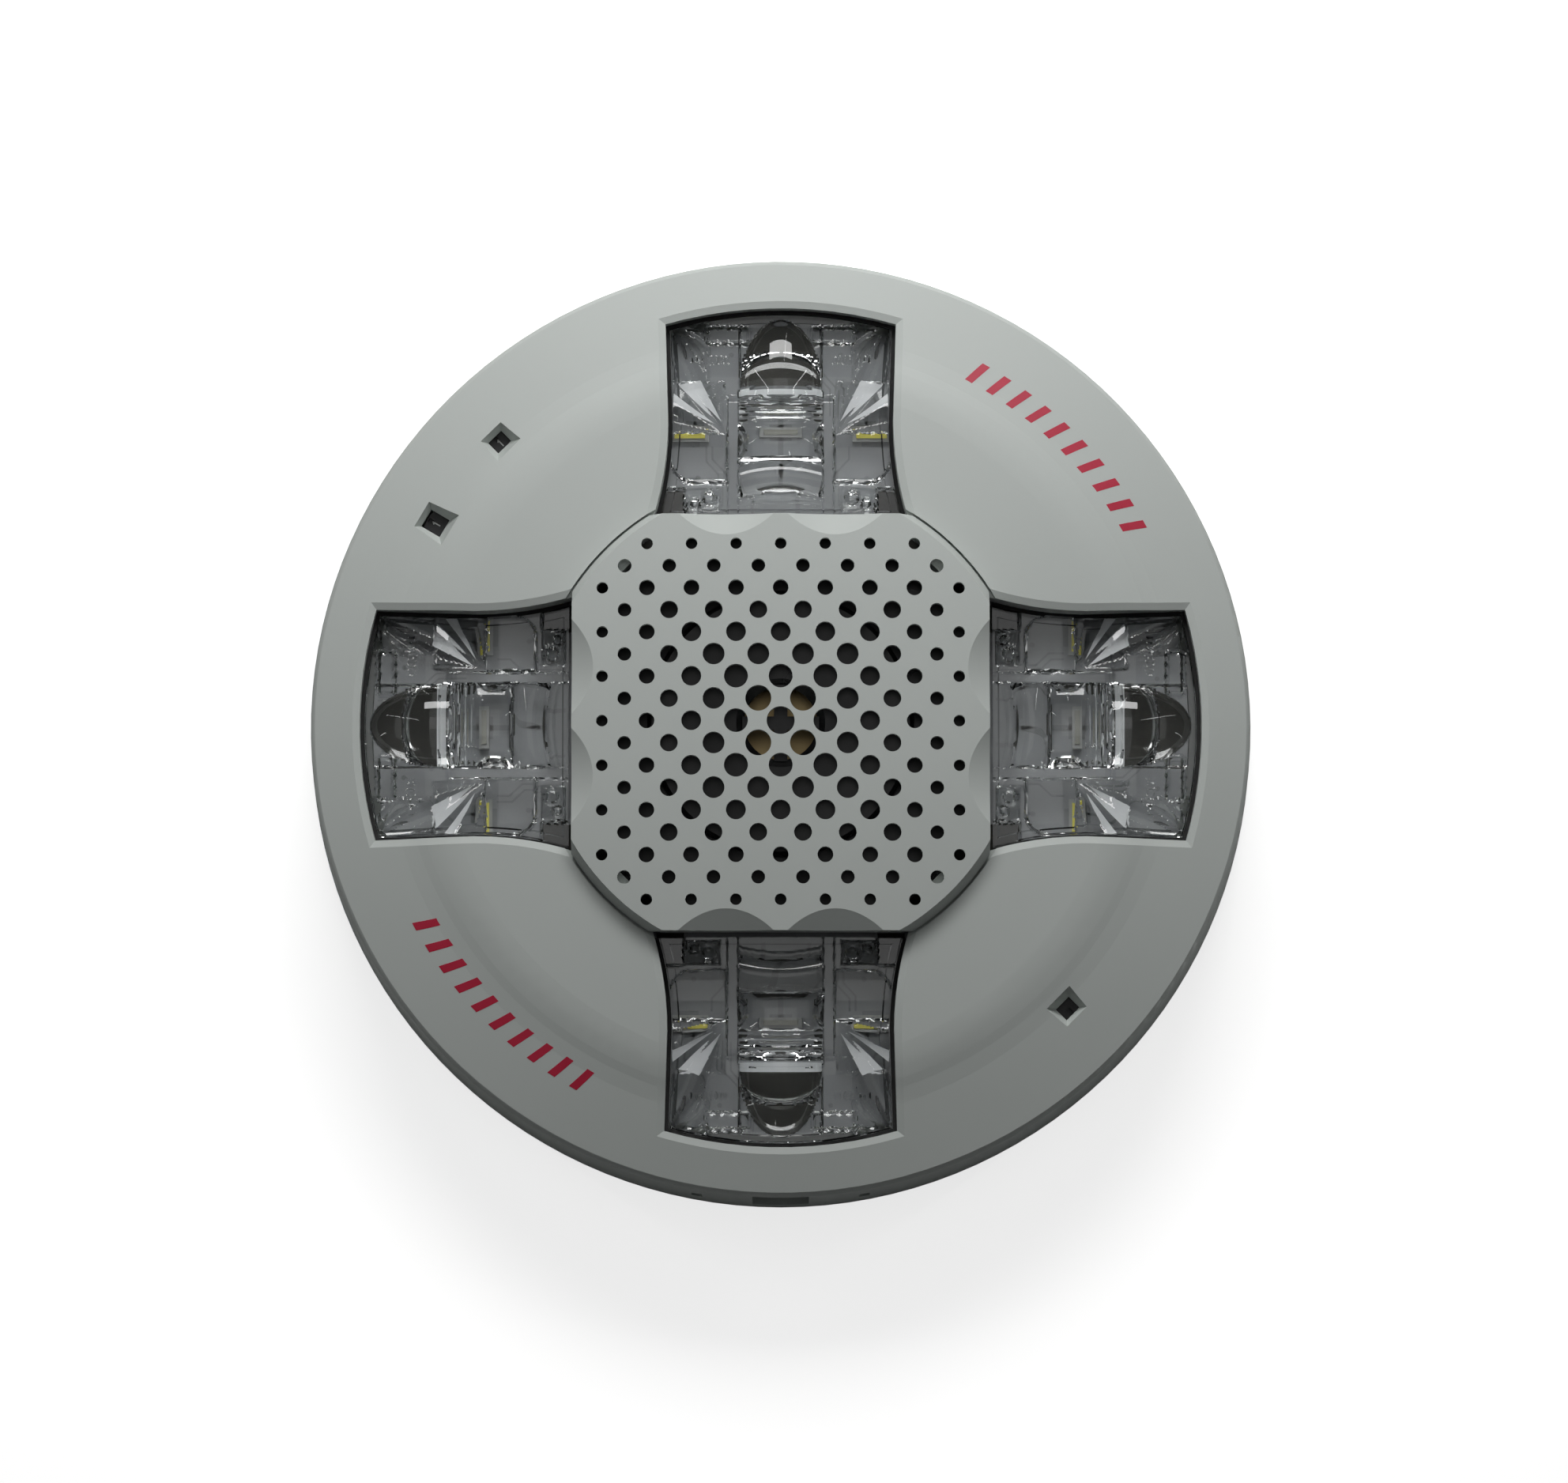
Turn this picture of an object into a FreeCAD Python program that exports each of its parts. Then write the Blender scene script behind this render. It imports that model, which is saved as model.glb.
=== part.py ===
import FreeCAD, Part
import os
import re
import Sketcher
from math import cos, radians, sin, sqrt

# Ceiling horn strobe: a round head with four strobe lenses round a perforated sounder grille.
# The head twists onto a mounting plate that holds the terminals and the release latch.
# Millimetres. +Z points out of the face, the origin is the centre of the back plane, and the
# release slot is at -Y.

Vector = FreeCAD.Vector
doc = FreeCAD.newDocument("HornStrobe")

# ---------------------------------------------------------------- driving dimensions
SIZES = {
    # front cover
    "back_radius": 86.4, "back_level": 0.5,
    "shoulder_radius": 84.9, "shoulder_level": 22.6,
    "flange_edge_radius": 84.1, "flange_edge_level": 23.6,
    "ramp_foot_radius": 70.2, "ramp_foot_level": 26.2,
    "ramp_head_radius": 64.4, "ramp_head_level": 28.0,
    "plateau_level": 29.0, "opening_radius": 44.8,
    "ledge_radius": 41.5, "ledge_level": 27.2, "ledge_bottom": 25.0, "ledge_wall_radius": 46.6,
    "wall": 2.3, "ramp_blend": 24.0, "curb_level": 22.0, "curb_wall": 1.6,
    "shoulder_round": 1.6, "hollow_offset": 1.0,
    # lens windows
    "window_radius": 76.0, "window_outer_half": 20.9, "window_waist_half": 20.35,
    "window_waist": 55.0, "window_inner_half": 24.1, "window_inner": 34.0,
    "window_flare": 60.0, "window_bevel_width": 1.3, "window_bevel_depth": 0.55,
    # sight windows for the selector dials
    "sight_radius": 72.6, "sight_angle_tone": 134.6, "sight_angle_candela": 149.5,
    "sight_angle_volume": -44.7, "sight_depth": 2.8, "sight_taper": 24,
    "small_sight_along": 2.7, "small_sight_across": 3.3,
    "large_sight_along": 3.9, "large_sight_across": 3.6, "sight_rim": 7.6, "sight_clear": 0.4,
    # release slot, notches and twist lock
    "slot_width": 10.2, "slot_bottom": 6.4, "slot_top": 21.6,
    "notch_width": 1.9, "notch_spacing": 30.4, "notch_bottom": 9.5, "notch_top": 14.5,
    "lug_inner_radius": 80.0, "lug_bottom": 2.4, "lug_top": 4.7, "lug_half_angle": 8,
    "tab_radius": 82.0, "tab_bottom": 5.0, "tab_half_angle": 9,
    "twist_angle": 20, "latch_travel": 2.0,
    "cam_notch_radius": 82.7, "cam_bottom": 7.4, "cam_top": 12.0,
    "cam_lead_angle": 2.5, "cam_end_angle": 3.5,
    "boss_radius": 3.2, "boss_circle": 78.2, "boss_first_angle": 55, "boss_second_angle": 118,
    "boss_pilot_radius": 1.2, "boss_pilot_depth": 6.5,
    # grille
    "grille_half": 37.5, "grille_radius": 44.35, "grille_edge_radius": 43.1,
    "grille_crown_level": 34.0, "grille_rim_level": 32.0, "crown_radius": 470,
    "grille_bottom": 27.75, "grille_bevel_level": 29.2, "grille_wall": 1.7,
    "grille_side_bottom": 25.2, "corner_step_half_angle": 15,
    "pitch": 4.0, "hole_diameter": 5.0, "hole_step": 0.365,
    "scoop_radius": 24.0, "scoop_side": 10.2, "scoop_reach": 4.1, "scoop_drop": 2.3,
    "scoop_length": 30.0,
    "clip_width": 8.0, "clip_radius": 40.9, "clip_bottom": 23.9, "clip_leg": 1.5,
    "clip_barb": 0.6, "clip_barb_height": 0.8, "clip_bridge": 2.6, "clip_bridge_height": 1.6,
    "pad_half_angle": 11, "pad_inset": 1.0,
    # lenses
    "lens_gap": 0.9, "lens_bottom": 19.6, "lens_flange_top": 21.0, "lens_flange": 1.2,
    "lens_plate_bottom": 22.4, "lens_plate_top": 24.0, "lens_inner": 38.3,
    "lens_inner_half": 22.7, "lens_wall": 1.6,
    "lens_foot_radius": 1.1, "lens_foot_inner_side": 21.0, "lens_foot_outer": 72.4,
    "lens_foot_outer_side": 19.6, "seal_inset": -0.7,
    "barrel_half": 7.65, "barrel_axis": 20.2, "nose_centre": 66.6, "barrel_inset": 0.5,
    "block_inner": 44.0, "block_outer": 53.0, "block_near": 9.5, "block_far": 19.2,
    "block_top": 26.2,
    # board and what stands on it
    "board_radius": 74.0, "board_bottom": 16.5, "board_top": 18.1, "board_hole_radius": 25.6,
    "led_radius": 52.8, "led_side": 16.4, "led_centre_radius": 54.0,
    "led_length": 6.4, "led_width": 2.2, "led_height": 0.8,
    "phosphor_length": 5.2, "phosphor_width": 1.1, "phosphor_height": 0.25,
    "capacitor_radius": 3.5, "capacitor_length": 14.0, "capacitor_circle": 57.3,
    "inductor_radius": 6.0, "inductor_height": 5.6, "inductor_circle": 50.0,
    "inductor_well_radius": 2.4, "inductor_well_depth": 1.2,
    "controller_side": 7.0, "controller_height": 1.1, "controller_circle": 45.0,
    "driver_length": 5.0, "driver_width": 6.0, "driver_offset": -6.0,
    "sounder_chip_length": 4.0, "sounder_chip_width": 5.0, "sounder_chip_offset": 7.0,
    "small_chip_height": 1.5, "small_chip_circle": 58.0,
    "resistor_length": 2.0, "resistor_width": 1.2, "resistor_height": 0.55,
    "resistor_row": 33.0, "resistor_pitch": 3.2,
    "connector_length": 5.0, "connector_width": 6.0, "connector_circle": 36.0,
    # sounder
    "horn_radius": 24.0, "horn_wall": 1.8, "horn_bottom": 15.0, "horn_top": 29.0,
    "horn_face": 27.2, "throat_radius": 6.6, "guard_bar": 2.4, "guard_height": 1.2,
    "seat_level": 20.0, "seat_radius": 18.0, "disc_radius": 20.6, "disc_height": 0.3,
    "ceramic_radius": 12.5, "ceramic_height": 0.3, "ear_radius": 28.4, "ear_half": 3.6,
    "ear_length": 9.2, "ear_height": 1.6, "ear_pilot_radius": 1.25,
    "horn_lip": 0.8, "throat_flare": 1.4, "throat_flare_depth": 1.2,
    "lead_angle": 225, "lead_notch_width": 4.4, "lead_start": 10.0, "lead_end": 33.5,
    "lead_level": 15.55, "lead_bend": 1.6, "lead_radius": 0.6, "lead_spacing": 2.2,
    "retainer_inset": 1.6, "retainer_lip": 1.3,
    "baffle_half": 35.2, "baffle_radius": 38.6, "baffle_bottom": 24.6, "baffle_height": 1.2,
    "baffle_collar_bottom": 22.4, "baffle_collar": 1.2,
    # rear cover
    "rear_bottom": 12.6, "rear_top": 14.2, "rear_radius": 82.3, "standoff_radius": 3.0,
    "standoff_circle": 70.0, "standoff_first_angle": 27, "rear_edge": 0.8,
    "standoff_pilot_radius": 1.1, "standoff_clear_radius": 1.6,
    "cover_screw_clear_radius": 1.7, "horn_screw_clear_radius": 1.5, "tail_clear_radius": 0.9,
    # mounting plate
    "plate_height": 2.5, "plate_radius": 79.5, "rim_inner_radius": 76.5, "rim_level": 7.0,
    "entry_width": 48.0, "entry_bottom": -24.0, "entry_top": 14.0, "entry_corner": 6.0,
    "gang_spacing_across": 46.0, "gang_spacing_along": 83.3, "octagon_spacing": 88.9,
    "mounting_hole_radius": 2.1, "entry_depth": 6.0,
    # terminals
    "block_half_length": 22.0, "terminal_block_bottom": 19.0, "terminal_block_top": 34.0,
    "terminal_row": 26.0, "terminal_pitch": 10.0, "terminal_level": 9.5, "barrier_level": 11.9,
    "barrier_width": 1.6, "clamp_height": 1.0, "screw_head_radius": 3.0, "screw_head_height": 1.5,
    "screw_shank_radius": 1.45, "screw_clear_radius": 1.75,
    "terminal_bore_bottom": 4.2, "barrier_length": 13.0, "clamp_length": 8.0, "clamp_width": 7.4,
    "contact_radius": 60.0, "contact_pitch_angle": 10, "contact_half_angle": 3,
    "fork_half": 1.1, "fork_gap_half": 0.6, "fork_bottom": 6.4, "fork_root": 11.2,
    "fork_top": 12.0, "fork_tail_radius": 0.6, "blade_half": 0.4, "blade_bottom": 4.6,
    "blade_top": 10.4, "carrier_half": 2.6, "carrier_half_angle": 19,
    "carrier_arm_width": 4.0, "carrier_arm_length": 27.0, "carrier_arm_side": 10.5,
    "carrier_arm_middle": 46.0,
    # latch
    "latch_level": 7.4, "latch_slab_height": 2.0, "latch_half_width": 6.0, "latch_back": -62.0,
    "latch_nose_half": 4.6, "latch_nose_radius": 82.4, "latch_nose_top": 12.2,
    "latch_nose_back": -78.0, "latch_heel_length": 1.9, "latch_heel_width": 6.0,
    "latch_heel_height": 4.2, "latch_grip_length": 1.2, "latch_grip_width": 7.0,
    "latch_grip_depth": 1.2, "spring_post_face": -52.0, "spring_post_length": 2.0,
    "spring_post_width": 8.0, "spring_post_height": 9.4,
    "spring_turns": 7, "spring_wire_radius": 0.25, "spring_radius": 1.5, "spring_rise": 2.1,
    "pedestal_length": 11.8, "rail_length": 13.4, "rail_width": 2.2, "rail_height": 7.3,
    "rail_offset": 1.4, "keeper_row": -67.0, "keeper_length": 5.0, "keeper_height": 1.2,
    "keeper_level": 9.6, "keeper_pilot_radius": 0.7, "keeper_clear_radius": 0.95,
    # selector switches and dials
    "dial_circle": 67.4, "dial_radius": 6.9, "dial_level": 20.7, "dial_height": 1.6,
    "shaft_radius": 2.0, "shaft_bottom": 13.2, "switch_half": 5.2, "switch_top": 20.3,
    "shaft_clear": 0.5, "shaft_bore_clear": 0.15, "driver_slot_length": 3.2,
    "driver_slot_width": 0.8, "driver_slot_depth": 1.2, "pointer_width": 0.8,
    "pointer_length": 1.4, "pointer_inset": 0.9, "pointer_depth": 0.8,
    # screws
    "recess_width": 0.7, "recess_depth": 0.8, "pan_recess_half": 1.5,
    # how far cutters run past what they cut, and joined forms into each other
    "run_past": 1.0, "overlap": 0.1, "through": 12.0,
}

sheet = doc.addObject("Spreadsheet::Sheet", "Sizes")
for row, (alias, number) in enumerate(SIZES.items(), start=1):
    sheet.set(f"A{row}", alias)
    sheet.set(f"B{row}", str(number))
    sheet.setAlias(f"B{row}", alias)
doc.recompute()

FUNCTIONS = {"cos", "sin", "tan", "sqrt", "asin", "atan"}
QUARTERS = (0, 90, 180, 270)
TAB_ANGLES = (90, 210, 330)
HOLE_RINGS = 8
LENS_NAMES = {0: "lens_right", 90: "lens_top", 180: "lens_left", 270: "lens_bottom"}


# ---------------------------------------------------------------- helpers
def bound(expression):
    """The expression with each size's alias read from the sheet."""
    word = r"[A-Za-z_]+"
    return re.sub(
        word, lambda w: w.group(0) if w.group(0) in FUNCTIONS else "Sizes." + w.group(0),
        str(expression),
    )


def size(expression):
    """The number an expression of sheet sizes comes to."""
    return float(sheet.evalExpression(bound(expression)))


def tie(thing, **properties):
    """Binds each property to its expression, so the sheet drives it."""
    for name, expression in properties.items():
        thing.setExpression(name, bound(expression))
    return thing


def put(thing, x=0, y=0, z=0, turn=0):
    """Places a thing at sheet expressions, turned about Z by an expression in degrees."""
    thing.Placement = FreeCAD.Placement(
        Vector(0, 0, 0), FreeCAD.Rotation(Vector(0, 0, 1), size(turn))
    )
    for name, expression in (("x", x), ("y", y), ("z", z)):
        thing.setExpression(".Placement.Base." + name, bound(expression))
    return thing


def box(name, length, width, height):
    return tie(doc.addObject("Part::Box", name), Length=length, Width=width, Height=height)


def centred_box(name, length, width, height, x=0, y=0, z=0, turn=0):
    """A box centred in its own X and Y on a point, which is turned about the origin with it."""
    corner_x = f"({x}) - ({length}) / 2"
    corner_y = f"({y}) - ({width}) / 2"
    thing = box(name, length, width, height)
    thing.Placement = FreeCAD.Placement(
        Vector(0, 0, 0), FreeCAD.Rotation(Vector(0, 0, 1), size(turn))
    )
    thing.setExpression(
        ".Placement.Base.x", bound(f"({corner_x}) * cos({turn}) - ({corner_y}) * sin({turn})")
    )
    thing.setExpression(
        ".Placement.Base.y", bound(f"({corner_x}) * sin({turn}) + ({corner_y}) * cos({turn})")
    )
    thing.setExpression(".Placement.Base.z", bound(z))
    return thing


def cylinder(name, radius, height, x=0, y=0, z=0):
    return put(tie(doc.addObject("Part::Cylinder", name), Radius=radius, Height=height), x, y, z)


def polar_cylinder(name, radius, height, circle, angle, z):
    """An upright cylinder on a circle about Z."""
    return cylinder(
        name, radius, height, f"({circle}) * cos({angle})", f"({circle}) * sin({angle})", z
    )


def cut(name, base, tool):
    thing = doc.addObject("Part::Cut", name)
    thing.Base = base
    thing.Tool = tool
    return thing


def fuse(name, *shapes):
    thing = doc.addObject("Part::MultiFuse", name)
    thing.Shapes = list(shapes)
    return thing


def common(name, base, tool):
    thing = doc.addObject("Part::Common", name)
    thing.Base = base
    thing.Tool = tool
    return thing


def group(name, members):
    """Separate solids of one kind, kept apart in one sub-part."""
    thing = doc.addObject("Part::Compound", name)
    thing.Links = members
    return thing


def arc_centre(start, end, radius):
    """The centre of the short arc from start to end; a positive radius turns anticlockwise."""
    middle = (start + end) * 0.5
    chord = end - start
    reach = sqrt(max(radius * radius - chord.Length * chord.Length / 4, 0))
    normal = Vector(-chord.y, chord.x, 0).normalize()
    return middle + normal * (reach if radius > 0 else -reach)


def draw(sketch, corners):
    """A closed outline. A corner is (x, y), or (x, y, radius) where an arc leads to the next."""
    points = [Vector(size(corner[0]), size(corner[1]), 0) for corner in corners]
    first = sketch.GeometryCount
    count = len(corners)
    ends = []
    for index, corner in enumerate(corners):
        start = points[index]
        end = points[(index + 1) % count]
        if len(corner) == 2:
            sketch.addGeometry(Part.LineSegment(start, end))
            ends.append((1, 2))
            continue
        radius = size(corner[2])
        centre = arc_centre(start, end, radius)
        middle = (start + end) * 0.5 - centre
        through = centre + middle.normalize() * abs(radius)
        sketch.addGeometry(Part.Arc(start, through, end))
        ends.append((1, 2) if radius > 0 else (2, 1))
    for index, corner in enumerate(corners):
        here = first + index
        following = first + (index + 1) % count
        sketch.addConstraint(Sketcher.Constraint(
            "Coincident", here, ends[index][1], following, ends[(index + 1) % count][0]
        ))
        for kind, expression in (("DistanceX", corner[0]), ("DistanceY", corner[1])):
            pin(sketch, Sketcher.Constraint(kind, -1, 1, here, ends[index][0], size(expression)),
                expression)
        if len(corner) == 3:
            radius = size(corner[2])
            pin(sketch, Sketcher.Constraint("Radius", here, abs(radius)),
                corner[2] if radius > 0 else f"-({corner[2]})")


def pin(sketch, constraint, expression):
    """Adds a constraint whose value follows a sheet expression."""
    number = sketch.addConstraint(constraint)
    sketch.setExpression(f"Constraints[{number}]", bound(expression))


def circle(sketch, x, y, radius):
    centre = Vector(size(x), size(y), 0)
    index = sketch.addGeometry(Part.Circle(centre, Vector(0, 0, 1), size(radius)))
    pin(sketch, Sketcher.Constraint("DistanceX", -1, 1, index, 3, size(x)), x)
    pin(sketch, Sketcher.Constraint("DistanceY", -1, 1, index, 3, size(y)), y)
    pin(sketch, Sketcher.Constraint("Radius", index, size(radius)), radius)


def origin_plane(body, role):
    return next(feature for feature in body.Origin.OriginFeatures if feature.Role == role)


def body_sketch(body, role, name, level=0):
    """A sketch on one of the body's own origin planes, raised to a level."""
    sketch = body.newObject("Sketcher::SketchObject", name)
    sketch.AttachmentSupport = [(origin_plane(body, role), "")]
    sketch.MapMode = "FlatFace"
    sketch.setExpression(".AttachmentOffset.Base.z", bound(level))
    return sketch


def lathe(name, corners, start=0, angle=360):
    """A body turned about Z from an outline in radius and height."""
    body = doc.addObject("PartDesign::Body", name)
    sketch = body_sketch(body, "XZ_Plane", name + "_profile")
    draw(sketch, corners)
    turn = body.newObject("PartDesign::Revolution", name + "_turn")
    turn.Profile = sketch
    turn.ReferenceAxis = (sketch, ["V_Axis"])
    turn.setExpression("Angle", bound(angle))
    put(body, turn=start)
    return body


def prism(name, corners, bottom, height, turn=0, circles=()):
    """A body padded up from an outline; circles are (x, y, radius) holes."""
    body = doc.addObject("PartDesign::Body", name)
    sketch = body_sketch(body, "XY_Plane", name + "_outline", bottom)
    draw(sketch, corners)
    for hole in circles:
        circle(sketch, *hole)
    pad = body.newObject("PartDesign::Pad", name + "_pad")
    pad.Profile = sketch
    pad.setExpression("Length", bound(height))
    put(body, turn=turn)
    return body


def rectangle(half_x, low_y, high_y):
    return [
        (f"-({half_x})", low_y), (half_x, low_y), (half_x, high_y), (f"-({half_x})", high_y),
    ]


# ---------------------------------------------------------------- shared outlines
def window_outline(grow=0, inner="window_inner", half="window_inner_half"):
    """The outline of a lens window along +X, grown outward by a distance."""
    arc = f"window_radius + ({grow})"
    outer = f"window_outer_half + ({grow})"
    waist = f"window_waist_half + ({grow})"
    inner_half = f"{half} + ({grow})"
    corner = f"sqrt(({arc})^2 - ({outer})^2)"
    return [
        (inner, f"-({inner_half})", "-window_flare"),
        ("window_waist", f"-({waist})"),
        (corner, f"-({outer})", arc),
        (corner, outer),
        ("window_waist", waist, "-window_flare"),
        (inner, inner_half),
    ]


# ---------------------------------------------------------------- front cover
def cover_skin():
    """The cover's outer form, solid, with a stepped round opening for the grille."""
    skin = lathe("cover_skin", [
        ("ledge_radius", "back_level"), ("back_radius", "back_level"),
        ("shoulder_radius", "shoulder_level", "shoulder_round"),
        ("flange_edge_radius", "flange_edge_level"),
        ("ramp_foot_radius", "ramp_foot_level"), ("ramp_head_radius", "ramp_head_level"),
        ("opening_radius", "plateau_level"), ("opening_radius", "ledge_level"),
        ("ledge_radius", "ledge_level"),
    ])
    doc.recompute()
    turned = skin.Tip
    blended = [
        f"Edge{number}" for number, edge in enumerate(turned.Shape.Edges, start=1)
        if hasattr(edge.Curve, "Radius") and any(
            abs(edge.Curve.Radius - size(radius)) < 0.01
            for radius in ("ramp_foot_radius", "ramp_head_radius")
        )
    ]
    blend = skin.newObject("PartDesign::Fillet", "cover_ramp_blend")
    blend.Base = (turned, blended)
    blend.setExpression("Radius", bound("ramp_blend"))
    return skin


def cover_hollow():
    """The space inside the cover, before the curbs and bosses are left standing in it."""
    return lathe("cover_hollow", [
        ("0", "back_level - run_past"), ("back_radius - wall", "back_level - run_past"),
        ("shoulder_radius - wall", "shoulder_level - shoulder_round"),
        ("ramp_foot_radius - hollow_offset", "ramp_foot_level - wall"),
        ("ramp_head_radius - hollow_offset", "ramp_head_level - wall"),
        ("ledge_wall_radius", "plateau_level - wall"), ("ledge_wall_radius", "ledge_bottom"),
        ("0", "ledge_bottom"),
    ])


def sector(name, inner, outer, bottom, top, middle, half_angle):
    """A ring segment about Z, centred on an angle."""
    return lathe(name, [(inner, bottom), (outer, bottom), (outer, top), (inner, top)],
                 start=f"({middle}) - ({half_angle})", angle=f"2 * ({half_angle})")


def cam_outline():
    """The rib that pushes the latch in: a notch, then a ramp as long as the twist."""
    nose = size("asin(latch_nose_half / latch_nose_radius)")
    steps = [-90 + nose + size("cam_lead_angle"), -90 - nose, -90 - nose - size("twist_angle"),
             -90 - nose - size("twist_angle + cam_end_angle")]
    notch = size("cam_notch_radius")
    lifted = notch - size("latch_travel")
    outer = size("back_radius - wall + 4 * overlap")

    def spot(radius, angle):
        return (radius * cos(radians(angle)), radius * sin(radians(angle)))

    ramp_middle = spot((notch + lifted) / 2, (steps[1] + steps[2]) / 2)
    wire = Part.Wire([
        Part.Arc(Vector(*spot(notch, steps[0])),
                 Vector(*spot(notch, (steps[0] + steps[1]) / 2)),
                 Vector(*spot(notch, steps[1]))).toShape(),
        Part.Arc(Vector(*spot(notch, steps[1])), Vector(*ramp_middle),
                 Vector(*spot(lifted, steps[2]))).toShape(),
        Part.LineSegment(Vector(*spot(lifted, steps[2])),
                         Vector(*spot(lifted, steps[3]))).toShape(),
        Part.LineSegment(Vector(*spot(lifted, steps[3])),
                         Vector(*spot(outer, steps[3]))).toShape(),
        Part.Arc(Vector(*spot(outer, steps[3])),
                 Vector(*spot(outer, (steps[0] + steps[3]) / 2)),
                 Vector(*spot(outer, steps[0]))).toShape(),
        Part.LineSegment(Vector(*spot(outer, steps[0])),
                         Vector(*spot(notch, steps[0]))).toShape(),
    ])
    return Part.Face(wire)


def cam_rib():
    rib = doc.addObject("Part::Feature", "cam_rib")
    rib.Shape = cam_outline().extrude(Vector(0, 0, size("cam_top - cam_bottom")))
    return put(rib, z="cam_bottom")


def sight_window(name, angle, along, across):
    """A small square window whose four walls lean outward, cut down through the flange."""
    corners = rectangle(f"({across}) / 2", f"-({along}) / 2", f"({along}) / 2")
    body = prism(name, corners, 0, "through")
    hole = doc.addObject("PartDesign::Body", name + "_flare")
    sketch = body_sketch(hole, "XY_Plane", name + "_mouth")
    draw(sketch, corners)
    pad = hole.newObject("PartDesign::Pad", name + "_lean")
    pad.Profile = sketch
    tie(pad, Length="through / 2", TaperAngle="sight_taper")
    spot = f"sight_radius * cos({angle})", f"sight_radius * sin({angle})"
    put(body, *spot, z="ramp_foot_level - through / 2 - run_past",
        turn=f"({angle}) - 90")
    put(hole, *spot, z="ramp_foot_level - sight_depth", turn=f"({angle}) - 90")
    return [body, hole]


def sight_frame(name, angle):
    """The thickened rim that the sight window is cut in."""
    return centred_box(name, "sight_rim", "sight_rim", "through / 2", "sight_radius - sight_clear",
                       0, "dial_level + dial_height + sight_clear", angle)


SIGHTS = (
    ("tone", "sight_angle_tone", "small_sight_along", "small_sight_across"),
    ("candela", "sight_angle_candela", "large_sight_along", "large_sight_across"),
    ("volume", "sight_angle_volume", "small_sight_along", "small_sight_across"),
)


def boss_angles():
    return ["boss_first_angle", "boss_second_angle",
            "boss_first_angle + 180", "boss_second_angle + 180"]


def cover_standing():
    """What is left standing inside the cover: curbs, bosses, lugs, the cam and sight frames."""
    standing = [cam_rib()]
    for turn in QUARTERS:
        standing.append(prism(f"curb_{turn}", window_outline("curb_wall", "window_inner - run_past"),
                              "curb_level", "through", turn))
    for number, angle in enumerate(boss_angles()):
        standing.append(polar_cylinder(f"boss_{number}", "boss_radius", "through", "boss_circle",
                                       angle, "rear_top"))
    for number, middle in enumerate(TAB_ANGLES):
        standing.append(sector(f"lug_{number}", "lug_inner_radius", "back_radius", "lug_bottom",
                               "lug_top", middle, "lug_half_angle"))
    for name, angle, along, across in SIGHTS:
        standing.append(sight_frame(f"sight_rim_{name}", angle))
    return fuse("cover_standing", *standing)


def cover_openings():
    """The slot, the notches, the grille's opening, the sight windows and the screw pilots."""
    cutters = [
        centred_box("slot_cutter", "slot_width", "through", "slot_top - slot_bottom",
                    y="-back_radius - through / 2 + 5", z="slot_bottom"),
        cylinder("grille_opening", "ledge_radius", "through", z="ledge_bottom - through / 3"),
    ]
    for side in (-1, 1):
        cutters.append(centred_box(f"notch_cutter_{side + 1}", "notch_width", "through",
                                   "notch_top - notch_bottom", x=f"{side} * notch_spacing / 2",
                                   y="-back_radius - through / 2 + 4.5", z="notch_bottom"))
    for name, angle, along, across in SIGHTS:
        cutters += sight_window(f"sight_{name}", angle, along, across)
    for number, angle in enumerate(boss_angles()):
        cutters.append(polar_cylinder(f"boss_hole_{number}", "boss_pilot_radius",
                                      "boss_pilot_depth + run_past", "boss_circle", angle,
                                      "rear_top - run_past"))
    return fuse("cover_cutters", *cutters)


def front_cover():
    hollow = cut("cover_space", cover_hollow(), cover_standing())
    shell = cut("cover_shell", cover_skin(), hollow)
    windows = [prism(f"window_{turn}", window_outline(), "curb_level - through / 3",
                     "2 * through", turn) for turn in QUARTERS]
    shell = cut("cover_windowed", shell, fuse("window_cutters", *windows))
    bevelled = doc.addObject("Part::Chamfer", "cover_bevelled")
    doc.recompute()
    bevelled.Base = shell
    bevelled.Edges = [bevel_row(shell.Shape, number) for number in window_rim_edges(shell.Shape)]
    return cut("front_cover", bevelled, cover_openings())


def bevel_row(shape, number):
    """An edge's number with its bevel's two legs, the one on the edge's first face first."""
    first = shape.ancestorsOfType(shape.Edges[number - 1], Part.Face)[0]
    facing = first.normalAt(0, 0)
    legs = [size("window_bevel_width"), size("window_bevel_depth")]
    if abs(facing.z) < abs(facing.x) + abs(facing.y):
        legs.reverse()
    return (number, *legs)


def window_rim_edges(shape):
    """The edges where the windows' walls meet the cover's face."""
    found = []
    for number, edge in enumerate(shape.Edges, start=1):
        middle = edge.valueAt((edge.FirstParameter + edge.LastParameter) / 2)
        reach = sqrt(middle.x ** 2 + middle.y ** 2)
        along = max(abs(middle.x), abs(middle.y))
        across = min(abs(middle.x), abs(middle.y))
        ends = [vertex.Point for vertex in edge.Vertexes]
        upright = len(ends) == 2 and abs(ends[0].z - ends[1].z) > 0.9 * edge.Length
        on_face = middle.z > face_level(reach) - 0.35
        in_window = (size("opening_radius") + 0.05 < reach < size("window_radius") + 0.1
                     and across < size("window_inner_half") + 0.1 and along > size("window_inner"))
        if on_face and in_window and not upright:
            found.append(number)
    return found


def face_level(reach):
    """The height of the cover's face at a distance from the axis."""
    stations = [(size(radius), size(level)) for radius, level in (
        ("opening_radius", "plateau_level"), ("ramp_head_radius", "ramp_head_level"),
        ("ramp_foot_radius", "ramp_foot_level"), ("flange_edge_radius", "flange_edge_level"),
    )]
    for (near, high), (far, low) in zip(stations, stations[1:]):
        if reach <= far:
            return high + (low - high) * (reach - near) / (far - near)
    return 0


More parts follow.
